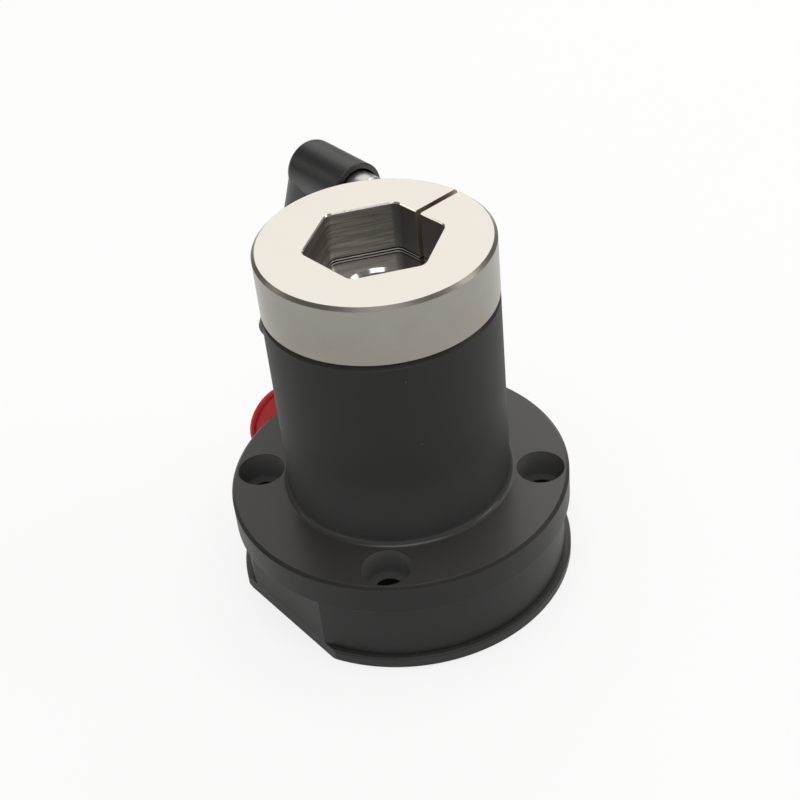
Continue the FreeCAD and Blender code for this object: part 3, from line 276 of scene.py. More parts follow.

# %% [markdown]
# ## Black anodised aluminium
# The housing and the base plate are turned, blasted very lightly and anodised black. The dye is
# almost black, and what the eye sees is the sheen: dark on the tube, a warm grey on the top of
# the flange, which looks at the light. That warm grey is painted into the top's colour, a painted
# sheen, and the top is painted lighter still on the side of the ring's slot, painted light. The
# tube is painted lighter towards its foot, a painted fill against the shade there, and the
# counterbores are painted lighter than the dye, painted light in place of the light that bounces
# into them. The rim of the base plate is lighter as well. Fine tool marks show in the sheen, and
# the dye is thinner on the edges. A plain black would hide the shape, so the marks matter here.
# One finish serves all these faces. It tells them apart by their height and by their distance from
# an axis, with masks a hair larger than the shapes they cover.

# %% Measures of the housing
tube_radius = 35.0 * millimetre
flange_top = 34.0 * millimetre
flange_bottom = 24.0 * millimetre
rim_top = 4.1 * millimetre
# Painted light: the height over which the tube is painted lighter towards its foot.
painted_fill_height = 30.0 * millimetre
fillet_size = 1.9 * millimetre
bolt_circle = 44.5 * millimetre
counterbore_radius = 7.51 * millimetre
counterbore_depth = 9.2 * millimetre
# Painted light: the direction towards which the flange's top is painted lighter, where the light falls.
painted_light_side = Vector((0.806, -0.591, 0.0))
print("tube", 2 * tube_radius, "m across, flange top at", flange_top, "m")


# %% Masks and tones of the housing
def in_counterbore(x, y, z):
    """1 inside the four counterbores, which lie on the diagonals of the flange."""
    diagonal = bolt_circle * math.sqrt(0.5)
    off_x = abs(x) - diagonal
    off_y = abs(y) - diagonal
    off_axis = (off_x * off_x + off_y * off_y).root()
    near = 1 - off_axis.between(counterbore_radius, counterbore_radius + 0.05 * millimetre)
    floor_of_bore = flange_top - counterbore_depth
    mouth = flange_top - 0.2 * millimetre
    return near * z.band(floor_of_bore, mouth, 0.1 * millimetre)


def on_fillet(on, z):
    """1 on the small fillet between the tube and the flange."""
    around = on.radius.band(tube_radius, tube_radius + fillet_size, 0.1 * millimetre)
    return around * z.between(flange_top, flange_top + 0.1 * millimetre)


def side_tone(finish, z):
    """Upright faces: the tube, painted lighter at its foot as painted fill, the lower body, the base rim."""
    lower = 1 - z.between(flange_bottom - 0.2 * millimetre, flange_bottom + 0.2 * millimetre)
    rim = 1 - z.between(rim_top - 0.1 * millimetre, rim_top + 0.1 * millimetre)
    # Painted light: the tube is painted lighter towards its foot, a painted fill against the shade there.
    foot = 1 - z.between(flange_top, flange_top + painted_fill_height)
    foot = foot * z.between(flange_top + 0.1 * millimetre, flange_top + 0.6 * millimetre)
    tone = finish.mix(lower, (0.0165, 0.0165, 0.0162), (0.0225, 0.0225, 0.0222))
    tone = finish.mix(foot, tone, (0.052, 0.052, 0.0515))
    return finish.mix(rim, tone, (0.040, 0.040, 0.0395))


print("masks for the counterbores and the fillet are ready")


# %% Black anodised finish
def black_anodised():
    """Satin black, with masks that tell the faces of the housing apart."""
    finish = Finish("black_anodised_satin")
    on = Surface(finish)
    x, y, z = finish.parts(on.place)
    marks = on.tool_marks(2200.0)
    cloud = on.noise(28.0, 4.0)
    grain = on.noise(5200.0, 2.0)
    looks_up = on.facing.between(0.6, 0.95)
    hole = in_counterbore(x, y, z)
    # Painted light: the top is painted lighter towards one side, where the light falls.
    across = x * painted_light_side.x + y * painted_light_side.y
    painted_light_share = across.between(-50.0 * millimetre, 50.0 * millimetre)
    # Painted sheen: faces that look up get a lighter colour than the sides because they look at the light.
    top = finish.mix(painted_light_share, (0.0350, 0.0325, 0.0301), (0.0460, 0.0428, 0.0396))
    colour = finish.mix(looks_up, side_tone(finish, z), top)
    colour = finish.scaled(colour, 0.72 + cloud * 0.42 + marks * 0.14)
    # Painted light: the counterbores are painted lighter than the dye, in place of the light that bounces in, the
    # walls more than the floor.
    painted_light_in_hole = finish.mix(looks_up, (0.145, 0.143, 0.141), (0.080, 0.079, 0.078))
    colour = finish.mix(hole, colour, painted_light_in_hole)
    rounded = on.soft_edge(0.35 * millimetre)
    worn = on.edge(rounded) * 0.55
    colour = finish.mix(worn, colour, (0.075, 0.072, 0.068))
    dust = on.specks(420.0, 0.012) * 0.35
    colour = finish.mix(dust, colour, (0.22, 0.21, 0.20))
    tube_foot = flange_top + fillet_size
    on_tube = z.between(tube_foot, tube_foot + 0.6 * millimetre)
    rough = 0.33 + cloud * 0.08 + marks * 0.06 + on_tube * 0.14 - on_fillet(on, z) * 0.16
    relief = marks * 0.6 + grain * 0.4
    constants = {"Specular IOR Level": 0.27, "Coat Roughness": 0.30}
    fields = {
        "Base Color": colour,
        "Roughness": rough,
        "Normal": on.bump(relief, 0.012 * millimetre, rounded),
        "Coat Weight": looks_up * (1 - hole) * (0.40 + painted_light_share * 0.30),
    }
    return finish.shade(constants, fields)


finishes = {"black_anodised": black_anodised()}
print("made", list(finishes))

# %% [markdown]
# ## The bright ring
# The clamp ring is steel with a thin bright plating. Its top is ground almost mirror smooth, its
# side is finely turned and greyer, and the walls of the hexagon were broached, which leaves dark
# brownish streaks across them. One finish with masks keeps the three in one piece: the masks come
# from the distance to the axis and from the direction of the face. The far wall alone has the
# streaks, and its lighter colour beside the darker other walls is partly painted light, as it faces
# the light. Round the foot of the walls run a thin painted highlight line and a dark seam above it.
# The slot's faces are painted a lighter brown against the shade inside the slot, the bevel is
# painted darker, a painted reflection of the dark room, and the side is a shade lighter towards
# the crown, a painted reflection.

# %% Measures of the ring
ring_low, ring_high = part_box("clamp_ring")
ring_radius = ring_high.x
ring_foot = ring_low.z
ring_crown = ring_high.z
spindle_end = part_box("spindle")[1].z
wall_foot = spindle_end + 0.3 * millimetre
slot_turn = math.radians(2.9)
slot_offset = 0.85 * millimetre
slot_reach = 1.03 * millimetre
print("ring from", round(ring_foot, 4), "to", round(ring_crown, 4), "m")


# %% The hexagon's walls and the slot
def drawn_out(on, scale, detail, roughness):
    """Noise stretched into lines that run round the walls."""
    settings = {"vector_type": "POINT"}
    place = on.finish.node("ShaderNodeMapping", settings, {"Vector": on.place, "Scale": scale})
    return on.noise(1.0, detail, roughness, place)


def hexagon_walls(on):
    """The walls' colour, with painted light on the far wall and a painted highlight at the foot, and the streaks.
    """
    finish = on.finish
    streaks = drawn_out(on, (60, 60, 1500), 3.0, 0.6)
    broad = drawn_out(on, (30, 30, 330), 2.0, 0.5)
    light_streaks = streaks.between(0.35, 0.7)
    broached = finish.mix(light_streaks, (0.32, 0.290, 0.262), (0.62, 0.565, 0.51))
    broached = finish.scaled(broached, 0.88 + broad * 0.84)
    # Partly painted light: the lighter streaked colours go on the far wall only, which faces the light, and the
    # other walls stay darker.
    far_wall = (0 - finish.parts(on.normal)[1]).between(0.75, 0.9)
    colour = finish.mix(far_wall, (0.26, 0.248, 0.234), broached)
    line_top = wall_foot + 0.35 * millimetre
    seam = on.along.band(line_top, wall_foot + 0.90 * millimetre, 0.05 * millimetre)
    colour = finish.mix(seam, colour, (0.03, 0.028, 0.026))
    # Painted highlight: a thin bright line at the foot of the walls.
    painted_highlight_line = 1 - on.along.between(line_top - 0.05 * millimetre, line_top)
    colour = finish.mix(painted_highlight_line, colour, (0.97, 0.96, 0.94))
    return colour, streaks * far_wall


def in_slot(on):
    """1 on the two cut faces of the slot, which leaves the hexagon on one side."""
    x, y, _ = on.finish.parts(on.place)
    off_slot = abs(y * math.cos(slot_turn) - x * math.sin(slot_turn) - slot_offset)
    near = 1 - off_slot.between(slot_reach, slot_reach + 0.03 * millimetre)
    return near * x.between(15.0 * millimetre, 16.0 * millimetre) * on.upright


print("the slot is turned by", round(math.degrees(slot_turn), 1), "degrees")


# %% Ring steel finish
def ring_steel():
    """The ground top, the turned side, the broached walls, the slot and the bevel."""
    finish = Finish("ring_bright_plated")
    on = Surface(finish)
    upward = on.facing.between(0.9, 0.99)
    wall = on.upright * (1 - on.radius.between(ring_radius * 0.66, ring_radius * 0.68))
    outside = on.upright * on.radius.between(ring_radius * 0.985, ring_radius * 0.995)
    bevel = on.facing.band(0.4, 0.9, 0.05)
    bevel = bevel * on.radius.between(ring_radius * 0.95, ring_radius * 0.955)
    slot = in_slot(on)
    wall_colour, streaks = hexagon_walls(on)
    cloud = on.noise(45.0, 3.0)
    tint = on.noise(14.0, 1.0)
    marks = on.tool_marks(3000.0)
    top = finish.mix(tint, (0.80, 0.745, 0.695), (0.815, 0.80, 0.735))
    # Painted reflection: the side is a shade lighter towards the crown.
    rise = on.along.between(ring_foot, ring_crown)
    side = finish.mix(rise, (0.325, 0.302, 0.272), (0.335, 0.321, 0.290))
    side = finish.scaled(side, 0.86 + cloud * 0.28)
    colour = finish.mix(outside, top, side)
    colour = finish.mix(wall, colour, wall_colour)
    # Painted light: the slot's faces get a light brown that lifts the shade inside the slot.
    colour = finish.mix(slot, colour, (0.42, 0.35, 0.27))
    # Painted shade: the bevel gets a darker colour, a painted reflection of the dark room it faces.
    colour = finish.mix(bevel, colour, (0.31, 0.285, 0.255))
    stain = on.specks(260.0, 0.05) * outside * 0.5
    colour = finish.mix(stain, colour, (0.12, 0.11, 0.10))
    rough = 0.13 + upward * 0.05 + outside * 0.11 + wall * 0.26 + slot * 0.3 + bevel * 0.18
    rounded = on.soft_edge(0.16 * millimetre)
    relief = marks * 0.35 + streaks * wall * 1.2
    fields = {
        "Base Color": colour,
        "Roughness": rough + cloud * 0.05 + marks * 0.04,
        "Normal": on.bump(relief, 0.006 * millimetre, rounded),
    }
    return finish.shade({"Metallic": 1.0}, fields)


finishes["ring_steel"] = ring_steel()
print("the ring is finished")

# %% [markdown]
# ## Turned metals
# The floor of the hexagon is the faced end of the spindle. It is shiny, so it mirrors the walls
# above it, and the tool left fine rings round the pilot hole. Stronger marks and a low roughness
# give both at once. The other turned pieces differ only in colour, gloss and the pitch of their
# marks, so a table with one row for each metal is enough.

# %% Turned finish
def turned_steel(name, colour, rough, pitch, depth, axis="z", centre=(0.0, 0.0, 0.0)):
    """A metal with tool marks round an axis through the centre."""
    finish = Finish(name)
    on = Surface(finish, axis, centre)
    marks = on.tool_marks(pitch)
    cloud = on.noise(60.0, 3.0)
    tone = finish.scaled(colour, 0.84 + cloud * 0.2 + marks * 0.14)
    rounded = on.soft_edge(0.12 * millimetre)
    normal = on.bump(marks, depth, rounded)
    fields = {
        "Base Color": tone,
        "Roughness": rough + cloud * 0.06 + marks * 0.05,
        "Normal": normal,
    }
    return finish.shade({"Metallic": 1.0}, fields)


TURNED = {
    # slot: material name, colour, roughness, marks for each metre, depth of the marks
    "spindle_steel": (
        "spindle_faced_steel", (0.74, 0.73, 0.715), 0.10, 2600.0, 0.006 * millimetre
    ),
    "bearing_steel": (
        "bearing_ground_steel", (0.66, 0.66, 0.67), 0.18, 5200.0, 0.002 * millimetre
    ),
    "cage_brass": ("bearing_cage_brass", (0.72, 0.50, 0.20), 0.30, 3000.0, 0.004 * millimetre),
    "gold_contact": ("contact_gold_plate", (0.83, 0.60, 0.25), 0.22, 5000.0, 0.002 * millimetre),
    "screw_steel": ("screw_black_oxide", (0.085, 0.083, 0.085), 0.34, 2400.0, 0.004 * millimetre),
}
for slot, row in TURNED.items():
    finishes[slot] = turned_steel(*row)
receptacle_axis = (0.0, 0.0, 17.0 * millimetre)
finishes["nickel_brass"] = turned_steel(
    "nickel_on_brass", (0.62, 0.60, 0.55), 0.26, 3600.0, 0.003 * millimetre, "y", receptacle_axis
)
print("turned finishes:", sorted(finishes))

# %% [markdown]
# ## The lever's clamp screw, washer and sleeve
# These three sit on the clamp screw's own axis, which runs along Y, so their tool marks have to
# turn about that axis and not about the spindle. Every lathe mark lies round its own axis, and
# on a bright collar the eye sees it at once when they don't.

# %% Clamp stack finish
clamp_low, clamp_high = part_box("clamp_screw")
clamp_axis = ((clamp_low.x + clamp_high.x) / 2, 0.0, (clamp_low.z + clamp_high.z) / 2)
clamp_steel = turned_steel(
    "clamp_stack_steel", (0.66, 0.635, 0.60), 0.22, 2600.0, 0.006 * millimetre, "y", clamp_axis
)
print("clamp axis at", [round(v, 4) for v in clamp_axis])

# %% [markdown]
# ## Moulded plastics
# The lever is glass-filled nylon with a fine satin grain. The cap is soft vinyl: a warm red,
# painted lighter at the bead as a painted highlight, with faint flow marks. Both get their look
# from a low bump of grain and from roughness that is not quite even.

# %% Moulded finishes
def moulded(name, colour, rough, grain_scale, depth, specular):
    """A plastic or a rubber with a low grain and an uneven gloss."""
    finish = Finish(name)
    on = Surface(finish)
    grain = on.noise(grain_scale, 2.0, 0.5)
    flow = on.noise(70.0, 4.0)
    tone = finish.scaled(colour, 0.875 + flow * 0.25)
    rounded = on.soft_edge(0.3 * millimetre)
    fields = {
        "Base Color": tone,
        "Roughness": rough + flow * 0.10 + grain * 0.08,
        "Normal": on.bump(grain, depth, rounded),
    }
    return finish.shade({"Specular IOR Level": specular}, fields)


MOULDED = {
    # slot: material name, colour, roughness, grain scale, depth of the grain, specular level
    "lever_black": (
        "lever_satin_nylon", (0.0120, 0.0120, 0.0128), 0.30, 3600.0, 0.02 * millimetre, 0.75
    ),
    "black_moulding": (
        "black_insulator", (0.020, 0.020, 0.021), 0.42, 4200.0, 0.01 * millimetre, 0.40
    ),
    "seal_rubber": (
        "seal_rubber_matt", (0.018, 0.018, 0.018), 0.62, 5000.0, 0.01 * millimetre, 0.30
    ),
    "cable_sheath": (
        "cable_grey_sheath", (0.22, 0.22, 0.23), 0.50, 4000.0, 0.01 * millimetre, 0.50
    ),
    "board_laminate": (
        "board_green_laminate", (0.02, 0.16, 0.06), 0.30, 2500.0, 0.01 * millimetre, 0.50
    ),
    "gauge_film": (
        "gauge_amber_film", (0.58, 0.33, 0.09), 0.28, 3000.0, 0.004 * millimetre, 0.50
    ),
}
for slot, row in MOULDED.items():
    finishes[slot] = moulded(*row)
print("moulded finishes:", sorted(MOULDED))

# %% [markdown]
# ## The red cap
# The cap gets a finish of its own, because its bead and its round face are painted a brighter red
# than the side: a painted highlight on the bead and painted light on the face. One mask takes the
# bead, by the distance along the cap, and one the face.

# %% Red cap finish
cap_low, cap_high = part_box("connector_cap")


def red_cap():
    """Soft red vinyl, with a painted highlight on the bead and painted light on the round face."""
    finish = Finish("cap_red_vinyl")
    on = Surface(finish, "y", (0.0, 0.0, (cap_low.z + cap_high.z) / 2))
    flow = on.noise(90.0, 4.0)
    grain = on.noise(2600.0, 2.0)
    rim = on.along.between(cap_high.y - 3.0 * millimetre, cap_high.y - 2.2 * millimetre)
    face = on.facing.between(0.7, 0.95)
    # Painted light: the bead and the round face get a brighter red than the side.
    colour = finish.mix(rim, (0.42, 0.021, 0.025), (0.50, 0.019, 0.028))
    colour = finish.mix(face, colour, (0.56, 0.021, 0.024))
    colour = finish.scaled(colour, 0.88 + flow * 0.24)
    rounded = on.soft_edge(0.4 * millimetre)
    fields = {
        "Base Color": colour,
        "Roughness": 0.40 + flow * 0.12 + grain * 0.06,
        "Normal": on.bump(flow * 0.6 + grain * 0.4, 0.02 * millimetre, rounded),
    }
    return finish.shade({"Specular IOR Level": 0.3}, fields)


finishes["red_cap"] = red_cap()
print("finishes for", len(finishes), "slots")

# %% [markdown]
# ## Dress the CAD pieces
# Every CAD node takes the finish of its slot in the record, so a new node needs no new line here.
# The clamp stack is the exception, because its marks need an axis of their own.

# %% Give each node its finish
ON_CLAMP_AXIS = ("clamp_screw", "thrust_washer", "spacer_sleeve")
for entry in frame["record"]["subparts"]:
    name = entry["node"]
    material = finishes[entry["material_slot"]]
    if name in ON_CLAMP_AXIS:
        material = clamp_steel
    nodes[name].data.materials.clear()
    nodes[name].data.materials.append(material)

# %% [markdown]
# ## Building with Geometry Nodes
# What repeats is made by a small node tree: a coil, the legs of a chip, the grid of a gauge.
# `Tree` adds the nodes and the named inputs. `grown` runs the tree on an empty mesh, keeps the
# result as a plain mesh and throws the modifier away, because the export drops instances.

# %% Geometry Nodes helpers
class Tree:
    """A Geometry Nodes tree with named number inputs."""

    def __init__(self, name, inputs):
        self.group = bpy.data.node_groups.new(name, "GeometryNodeTree")
        sockets = self.group.interface
        sockets.new_socket("Geometry", in_out="OUTPUT", socket_type="NodeSocketGeometry")
        self.values = {}
        for label, value in inputs.items():
            kind = "NodeSocketInt" if isinstance(value, int) else "NodeSocketFloat"
            socket = sockets.new_socket(label, in_out="INPUT", socket_type=kind)
            self.values[socket.identifier] = value
        self.source = self.group.nodes.new("NodeGroupInput")
        self.sink = self.group.nodes.new("NodeGroupOutput")

    def size(self, label):
        """One of the named inputs."""
        return self.source.outputs[label]

    def resize(self, inputs):
        """New numbers for some of the named inputs."""
        for item in self.group.interface.items_tree:
            if item.name in inputs:
                self.values[item.identifier] = inputs[item.name]

    def node(self, kind, settings=None, values=None, output=0):
        """Any node: its settings first, then the values or links of its sockets."""
        made = self.group.nodes.new(kind)
        for name, value in (settings or {}).items():
            setattr(made, name, value)
        for name, value in (values or {}).items():
            if isinstance(value, bpy.types.NodeSocket):
                self.group.links.new(value, made.inputs[name])
            else:
                made.inputs[name].default_value = value
        return made.outputs[output]

    def sum(self, operation, *values):
        """The result of one Math node."""
        return self.node("ShaderNodeMath", {"operation": operation}, dict(enumerate(values)))

    def point(self, x, y, z):
        """Three numbers as one vector."""
        return self.node("ShaderNodeCombineXYZ", {}, {0: x, 1: y, 2: z})

    def row(self, count, start, offset):
        """Points in a straight row."""
        values = {"Count": count, "Start Location": start, "Offset": offset}
        return self.node("GeometryNodeMeshLine", {"mode": "OFFSET"}, values)

    def copies(self, points, piece, turned=(0.0, 0.0, 0.0)):
        """The piece once on every point."""
        values = {"Points": points, "Instance": piece, "Rotation": turned}
        return self.node("GeometryNodeInstanceOnPoints", {}, values)

    def joined(self, *pieces):
        """Several pieces as one."""
        made = self.group.nodes.new("GeometryNodeJoinGeometry")
        for piece in pieces:
            self.group.links.new(piece, made.inputs[0])
        return made.outputs[0]

    def tube(self, curve, radius, sides):
        """A round wire along a curve, closed at both ends."""
        ring = self.node(
            "GeometryNodeCurvePrimitiveCircle", {"mode": "RADIUS"},
            {"Resolution": sides, "Radius": radius},
        )
        values = {"Curve": curve, "Profile Curve": ring, "Fill Caps": True}
        return self.node("GeometryNodeCurveToMesh", {}, values)

    def finish(self, geometry, material):
        """The end of every tree: real faces instead of instances, in one material."""
        solid = self.node("GeometryNodeRealizeInstances", {}, {"Geometry": geometry})
        dressed = self.node(
            "GeometryNodeSetMaterial", {}, {"Geometry": solid, "Material": material}
        )
        self.group.links.new(dressed, self.sink.inputs[0])
        return self


crease_angle = math.radians(40.0)


def grown(name, tree, material):
    """The tree's result as a plain mesh object at the origin."""
    seed = bpy.data.objects.new(name + "_seed", bpy.data.meshes.new(name + "_seed"))
    bpy.context.scene.collection.objects.link(seed)
    modifier = seed.modifiers.new("growth", "NODES")
    modifier.node_group = tree.group
    for identifier, value in tree.values.items():
        modifier[identifier] = value
    bpy.context.view_layer.update()
    evaluated = seed.evaluated_get(bpy.context.evaluated_depsgraph_get())
    mesh = bpy.data.meshes.new_from_object(evaluated)
    bpy.data.objects.remove(seed)
    return as_piece(name, mesh, material)


def as_piece(name, mesh, material):
    """A finished mesh with outward faces, soft shading and one material."""
    shape = bmesh.new()
    shape.from_mesh(mesh)
    bmesh.ops.remove_doubles(shape, verts=shape.verts, dist=1e-7)
    bmesh.ops.recalc_face_normals(shape, faces=shape.faces)
    for face in shape.faces:
        face.smooth = True
    for edge in shape.edges:
        if len(edge.link_faces) == 2:
            edge.smooth = edge.calc_face_angle() < crease_angle
    shape.to_mesh(mesh)
    shape.free()
    mesh.name = name
    mesh.materials.clear()
    mesh.materials.append(material)
    piece = bpy.data.objects.new(name, mesh)
    bpy.context.scene.collection.objects.link(piece)
    print(name, len(mesh.polygons), "faces")
    return piece


print("edges above", round(math.degrees(crease_angle)), "degrees stay sharp")

# %% [markdown]
# ## The lever's spring
# A real compression spring has closed ends: the first and the last coil lie flat and the pitch
# opens between them. The tree bends a straight line into a coil whose height follows a soft
# step, which gives those flat ends. It stands for the plain coil of the CAD model and rides with
# the clamp screw, and the share of its length it would keep at the lever's full lift is worked out.

# %% Coil the spring
spring_low, spring_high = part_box("lever_spring")
spring_wire = 0.8 * millimetre
spring_radius = (spring_high.x - spring_low.x) / 2 - spring_wire / 2


def spring_tree(material):
    """A wire coil with flat ends."""
    tree = Tree("lever_spring_coil", {
        "Turns": 5.0,
        "Wire": spring_wire,
        "Radius": spring_radius,
        "Start": spring_low.y + spring_wire / 2,
        "Rise": spring_high.y - spring_low.y - spring_wire,
    })
    line = tree.node("GeometryNodeCurvePrimitiveLine", {}, {"Start": (0, 0, 0), "End": (0, 1, 0)})
    line = tree.node("GeometryNodeResampleCurve", {}, {"Curve": line, "Count": 220})
    share = tree.node("GeometryNodeSplineParameter", output="Factor")
    angle = tree.sum("MULTIPLY", share, tree.sum("MULTIPLY", tree.size("Turns"), math.tau))
    settings = {"interpolation_type": "SMOOTHSTEP"}
    rise = tree.node("ShaderNodeMapRange", settings, {"Value": share})
    height = tree.sum("MULTIPLY_ADD", rise, tree.size("Rise"), tree.size("Start"))
    across = tree.sum("MULTIPLY", tree.sum("COSINE", angle), tree.size("Radius"))
    over = tree.sum("MULTIPLY", tree.sum("SINE", angle), tree.size("Radius"))
    x = tree.sum("ADD", across, clamp_axis[0])
    z = tree.sum("ADD", over, clamp_axis[2])
    values = {"Geometry": line, "Position": tree.point(x, height, z)}
    coil = tree.node("GeometryNodeSetPosition", {}, values)
    wire = tree.tube(coil, tree.sum("MULTIPLY", tree.size("Wire"), 0.5), 10)
    return tree.finish(wire, material)


coil_steel = finishes["bearing_steel"]
spring = grown("lever_spring_coil", spring_tree(coil_steel), coil_steel)
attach(spring, "clamp_spindle")
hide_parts("lever_spring")
spring_joint = next(j for j in frame["joints"] if j["name"] == "lever_lift")
spring_keep = 1.0 - spring_joint["range_m"][1] / (spring_high.y - spring_low.y)
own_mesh(spring)
print("spring keeps", round(spring_keep, 3), "of its length")

# %% [markdown]
# ## The foil grids of the strain gauges
# Each gauge on the neck carries a foil grid at 45 degrees, because a twist stretches the neck
# along that slope. The grid is drawn flat as parallel strips and is then wrapped on the neck
# with its film: a distance sideways becomes an angle. That is simpler than bending each strip,
# and the four copies stand a quarter turn apart.

# %% Grow the gauge grids
gauge_low, gauge_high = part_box("strain_gauges")
gauge_middle = (gauge_low.z + gauge_high.z) / 2
gauge_radius = 15.3 * millimetre


def gauge_tree(material):
    """Foil strips with two pads, wrapped on the neck once for each gauge."""
    tree = Tree("gauge_foil_grid", {
        "Strips": 9,
        "Strip spacing": 0.42 * millimetre,
        "Strip length": 3.6 * millimetre,
        "Strip width": 0.2 * millimetre,
        "Neck radius": gauge_radius,
        "Height": gauge_middle,
        "Gauges": 4,
    })
    length = tree.size("Strip length")
    width = tree.size("Strip width")
    spacing = tree.size("Strip spacing")
    strip = tree.node("GeometryNodeMeshCube", {}, {
        "Size": tree.point(length, width, 0.04 * millimetre), "Vertices X": 8,
    })
    span = tree.sum("MULTIPLY", spacing, tree.sum("SUBTRACT", tree.size("Strips"), 1))
    start = tree.point(0.0, tree.sum("MULTIPLY", span, -0.5), 0.0)
    strip_row = tree.row(tree.size("Strips"), start, tree.point(0.0, spacing, 0.0))
    pad = tree.node("GeometryNodeMeshCube", {}, {
        "Size": (1.4 * millimetre, 1.1 * millimetre, 0.05 * millimetre), "Vertices X": 4,
    })
    pad_start = (-1.2 * millimetre, -2.6 * millimetre, 0.0)
    pad_row = tree.row(2, pad_start, (2.4 * millimetre, 0.0, 0.0))
    grid = tree.joined(tree.copies(strip_row, strip), tree.copies(pad_row, pad))
    flat = tree.node("GeometryNodeRealizeInstances", {}, {"Geometry": grid})
    sloped = tree.node("GeometryNodeTransform", {}, {
        "Geometry": flat, "Rotation": (0.0, 0.0, math.radians(45.0)),
    })
    place = tree.node("GeometryNodeInputPosition")
    parts = tree.group.nodes.new("ShaderNodeSeparateXYZ")
    tree.group.links.new(place, parts.inputs[0])
    angle = tree.sum("DIVIDE", parts.outputs[0], tree.size("Neck radius"))
    reach = tree.sum("ADD", tree.size("Neck radius"), parts.outputs[2])
    x = tree.sum("MULTIPLY", reach, tree.sum("COSINE", angle))
    y = tree.sum("MULTIPLY", reach, tree.sum("SINE", angle))
    z = tree.sum("ADD", parts.outputs[1], tree.size("Height"))
    wrapped = tree.node(
        "GeometryNodeSetPosition", {}, {"Geometry": sloped, "Position": tree.point(x, y, z)}
    )
    on_axis = tree.row(tree.size("Gauges"), (0.0, 0.0, 0.0), (0.0, 0.0, 0.0))
    index = tree.node("GeometryNodeInputIndex")
    step = tree.sum("MULTIPLY", index, math.radians(90.0))
    turned = tree.point(0.0, 0.0, tree.sum("ADD", step, math.radians(45.0)))
    return tree.finish(tree.copies(on_axis, wrapped, turned), material)


foil = turned_steel("gauge_foil", (0.70, 0.62, 0.50), 0.30, 2000.0, 0.001 * millimetre)
grids = grown("strain_gauge_grids", gauge_tree(foil), foil)
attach(grids, "root")

# %% [markdown]
# ## The legs of the chips
# Chips without legs look like toy bricks. One tree bends a small leg and repeats it along the
# two long sides of a chip. It runs once for each chip with that chip's own place and size: its
# middle, the distance between its two rows, the length of a row, its legs and its turn.

# %% Grow the chip legs
board_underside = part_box("amplifier_board")[0].z
CHIPS = {
    # name: x and y of its middle, distance between its rows, length of a row (all in mm),
    # legs in a row, turn in degrees
    "amplifier": (-12.0, 6.0, 7.0, 7.0, 7, 0.0),
    "converter": (4.0, -12.0, 6.0, 9.0, 9, 90.0),
    "memory": (14.0, 8.0, 4.0, 5.0, 4, 90.0),
}


def leg_tree(material):
    """Two rows of bent legs under the board, back to back."""
    tree = Tree("chip_legs", {
        "Legs": 7,
        "Spacing": 0.9 * millimetre,
        "Half width": 3.5 * millimetre,
        "Leg width": 0.4 * millimetre,
        "Board": board_underside,
    })
    path = tree.node("GeometryNodeCurvePrimitiveQuadrilateral", {"mode": "POINTS"}, {
        "Point 1": (-0.1 * millimetre, 0.0, -0.7 * millimetre),
        "Point 2": (0.45 * millimetre, 0.0, -0.7 * millimetre),
        "Point 3": (0.75 * millimetre, 0.0, -0.08 * millimetre),
        "Point 4": (1.25 * millimetre, 0.0, -0.08 * millimetre),
    })
    cut = tree.node("GeometryNodeSetSplineCyclic", {}, {"Geometry": path, "Cyclic": False})
    section = tree.node("GeometryNodeCurvePrimitiveQuadrilateral", {"mode": "RECTANGLE"}, {
        "Width": 0.14 * millimetre, "Height": tree.size("Leg width"),
    })
    leg = tree.node("GeometryNodeCurveToMesh", {}, {
        "Curve": cut, "Profile Curve": section, "Fill Caps": True,
    })
    spacing = tree.size("Spacing")
    span = tree.sum("MULTIPLY", spacing, tree.sum("SUBTRACT", tree.size("Legs"), 1))
    start = tree.point(tree.size("Half width"), tree.sum("MULTIPLY", span, -0.5), 0.0)
    side = tree.copies(tree.row(tree.size("Legs"), start, tree.point(0.0, spacing, 0.0)), leg)
    other = tree.node("GeometryNodeTransform", {}, {
        "Geometry": side, "Rotation": (0.0, 0.0, math.pi),
    })
    lifted = tree.node("GeometryNodeTransform", {}, {
        "Geometry": tree.joined(side, other),
        "Translation": tree.point(0.0, 0.0, tree.size("Board")),
    })
    return tree.finish(lifted, material)


tin = turned_steel("tinned_leg", (0.68, 0.67, 0.65), 0.32, 3000.0, 0.002 * millimetre)
chip_legs = leg_tree(tin)
for label, (x, y, apart, row_length, count, turned_by) in CHIPS.items():
    chip_legs.resize({
        "Legs": count,
        "Spacing": (row_length - 1.0) / (count - 1) * millimetre,
        "Half width": apart / 2 * millimetre,
    })
    legs = grown(f"chip_legs_{label}", chip_legs, tin)
    legs.data.transform(Matrix.Rotation(math.radians(turned_by), 4, "Z"))
    legs.data.transform(Matrix.Translation((x * millimetre, y * millimetre, 0.0)))
    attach(legs, "root")

# %% [markdown]
# ## The floor
# The photograph stands on pure white. A white floor under plain light would come out grey near
# the object, and more light would spoil the object. So the floor is pale, and for camera and
# mirror rays it glows as well: it reads as white and still keeps the object's soft shadow. Far
# away it only glows, so that it melts into the room and a low view shows no horizon.

# %% Floor
floor_radius = 6.0
glow_near = 0.80
glow_in_mirrors = 0.10
melts_from, melts_to = 0.8, 2.5


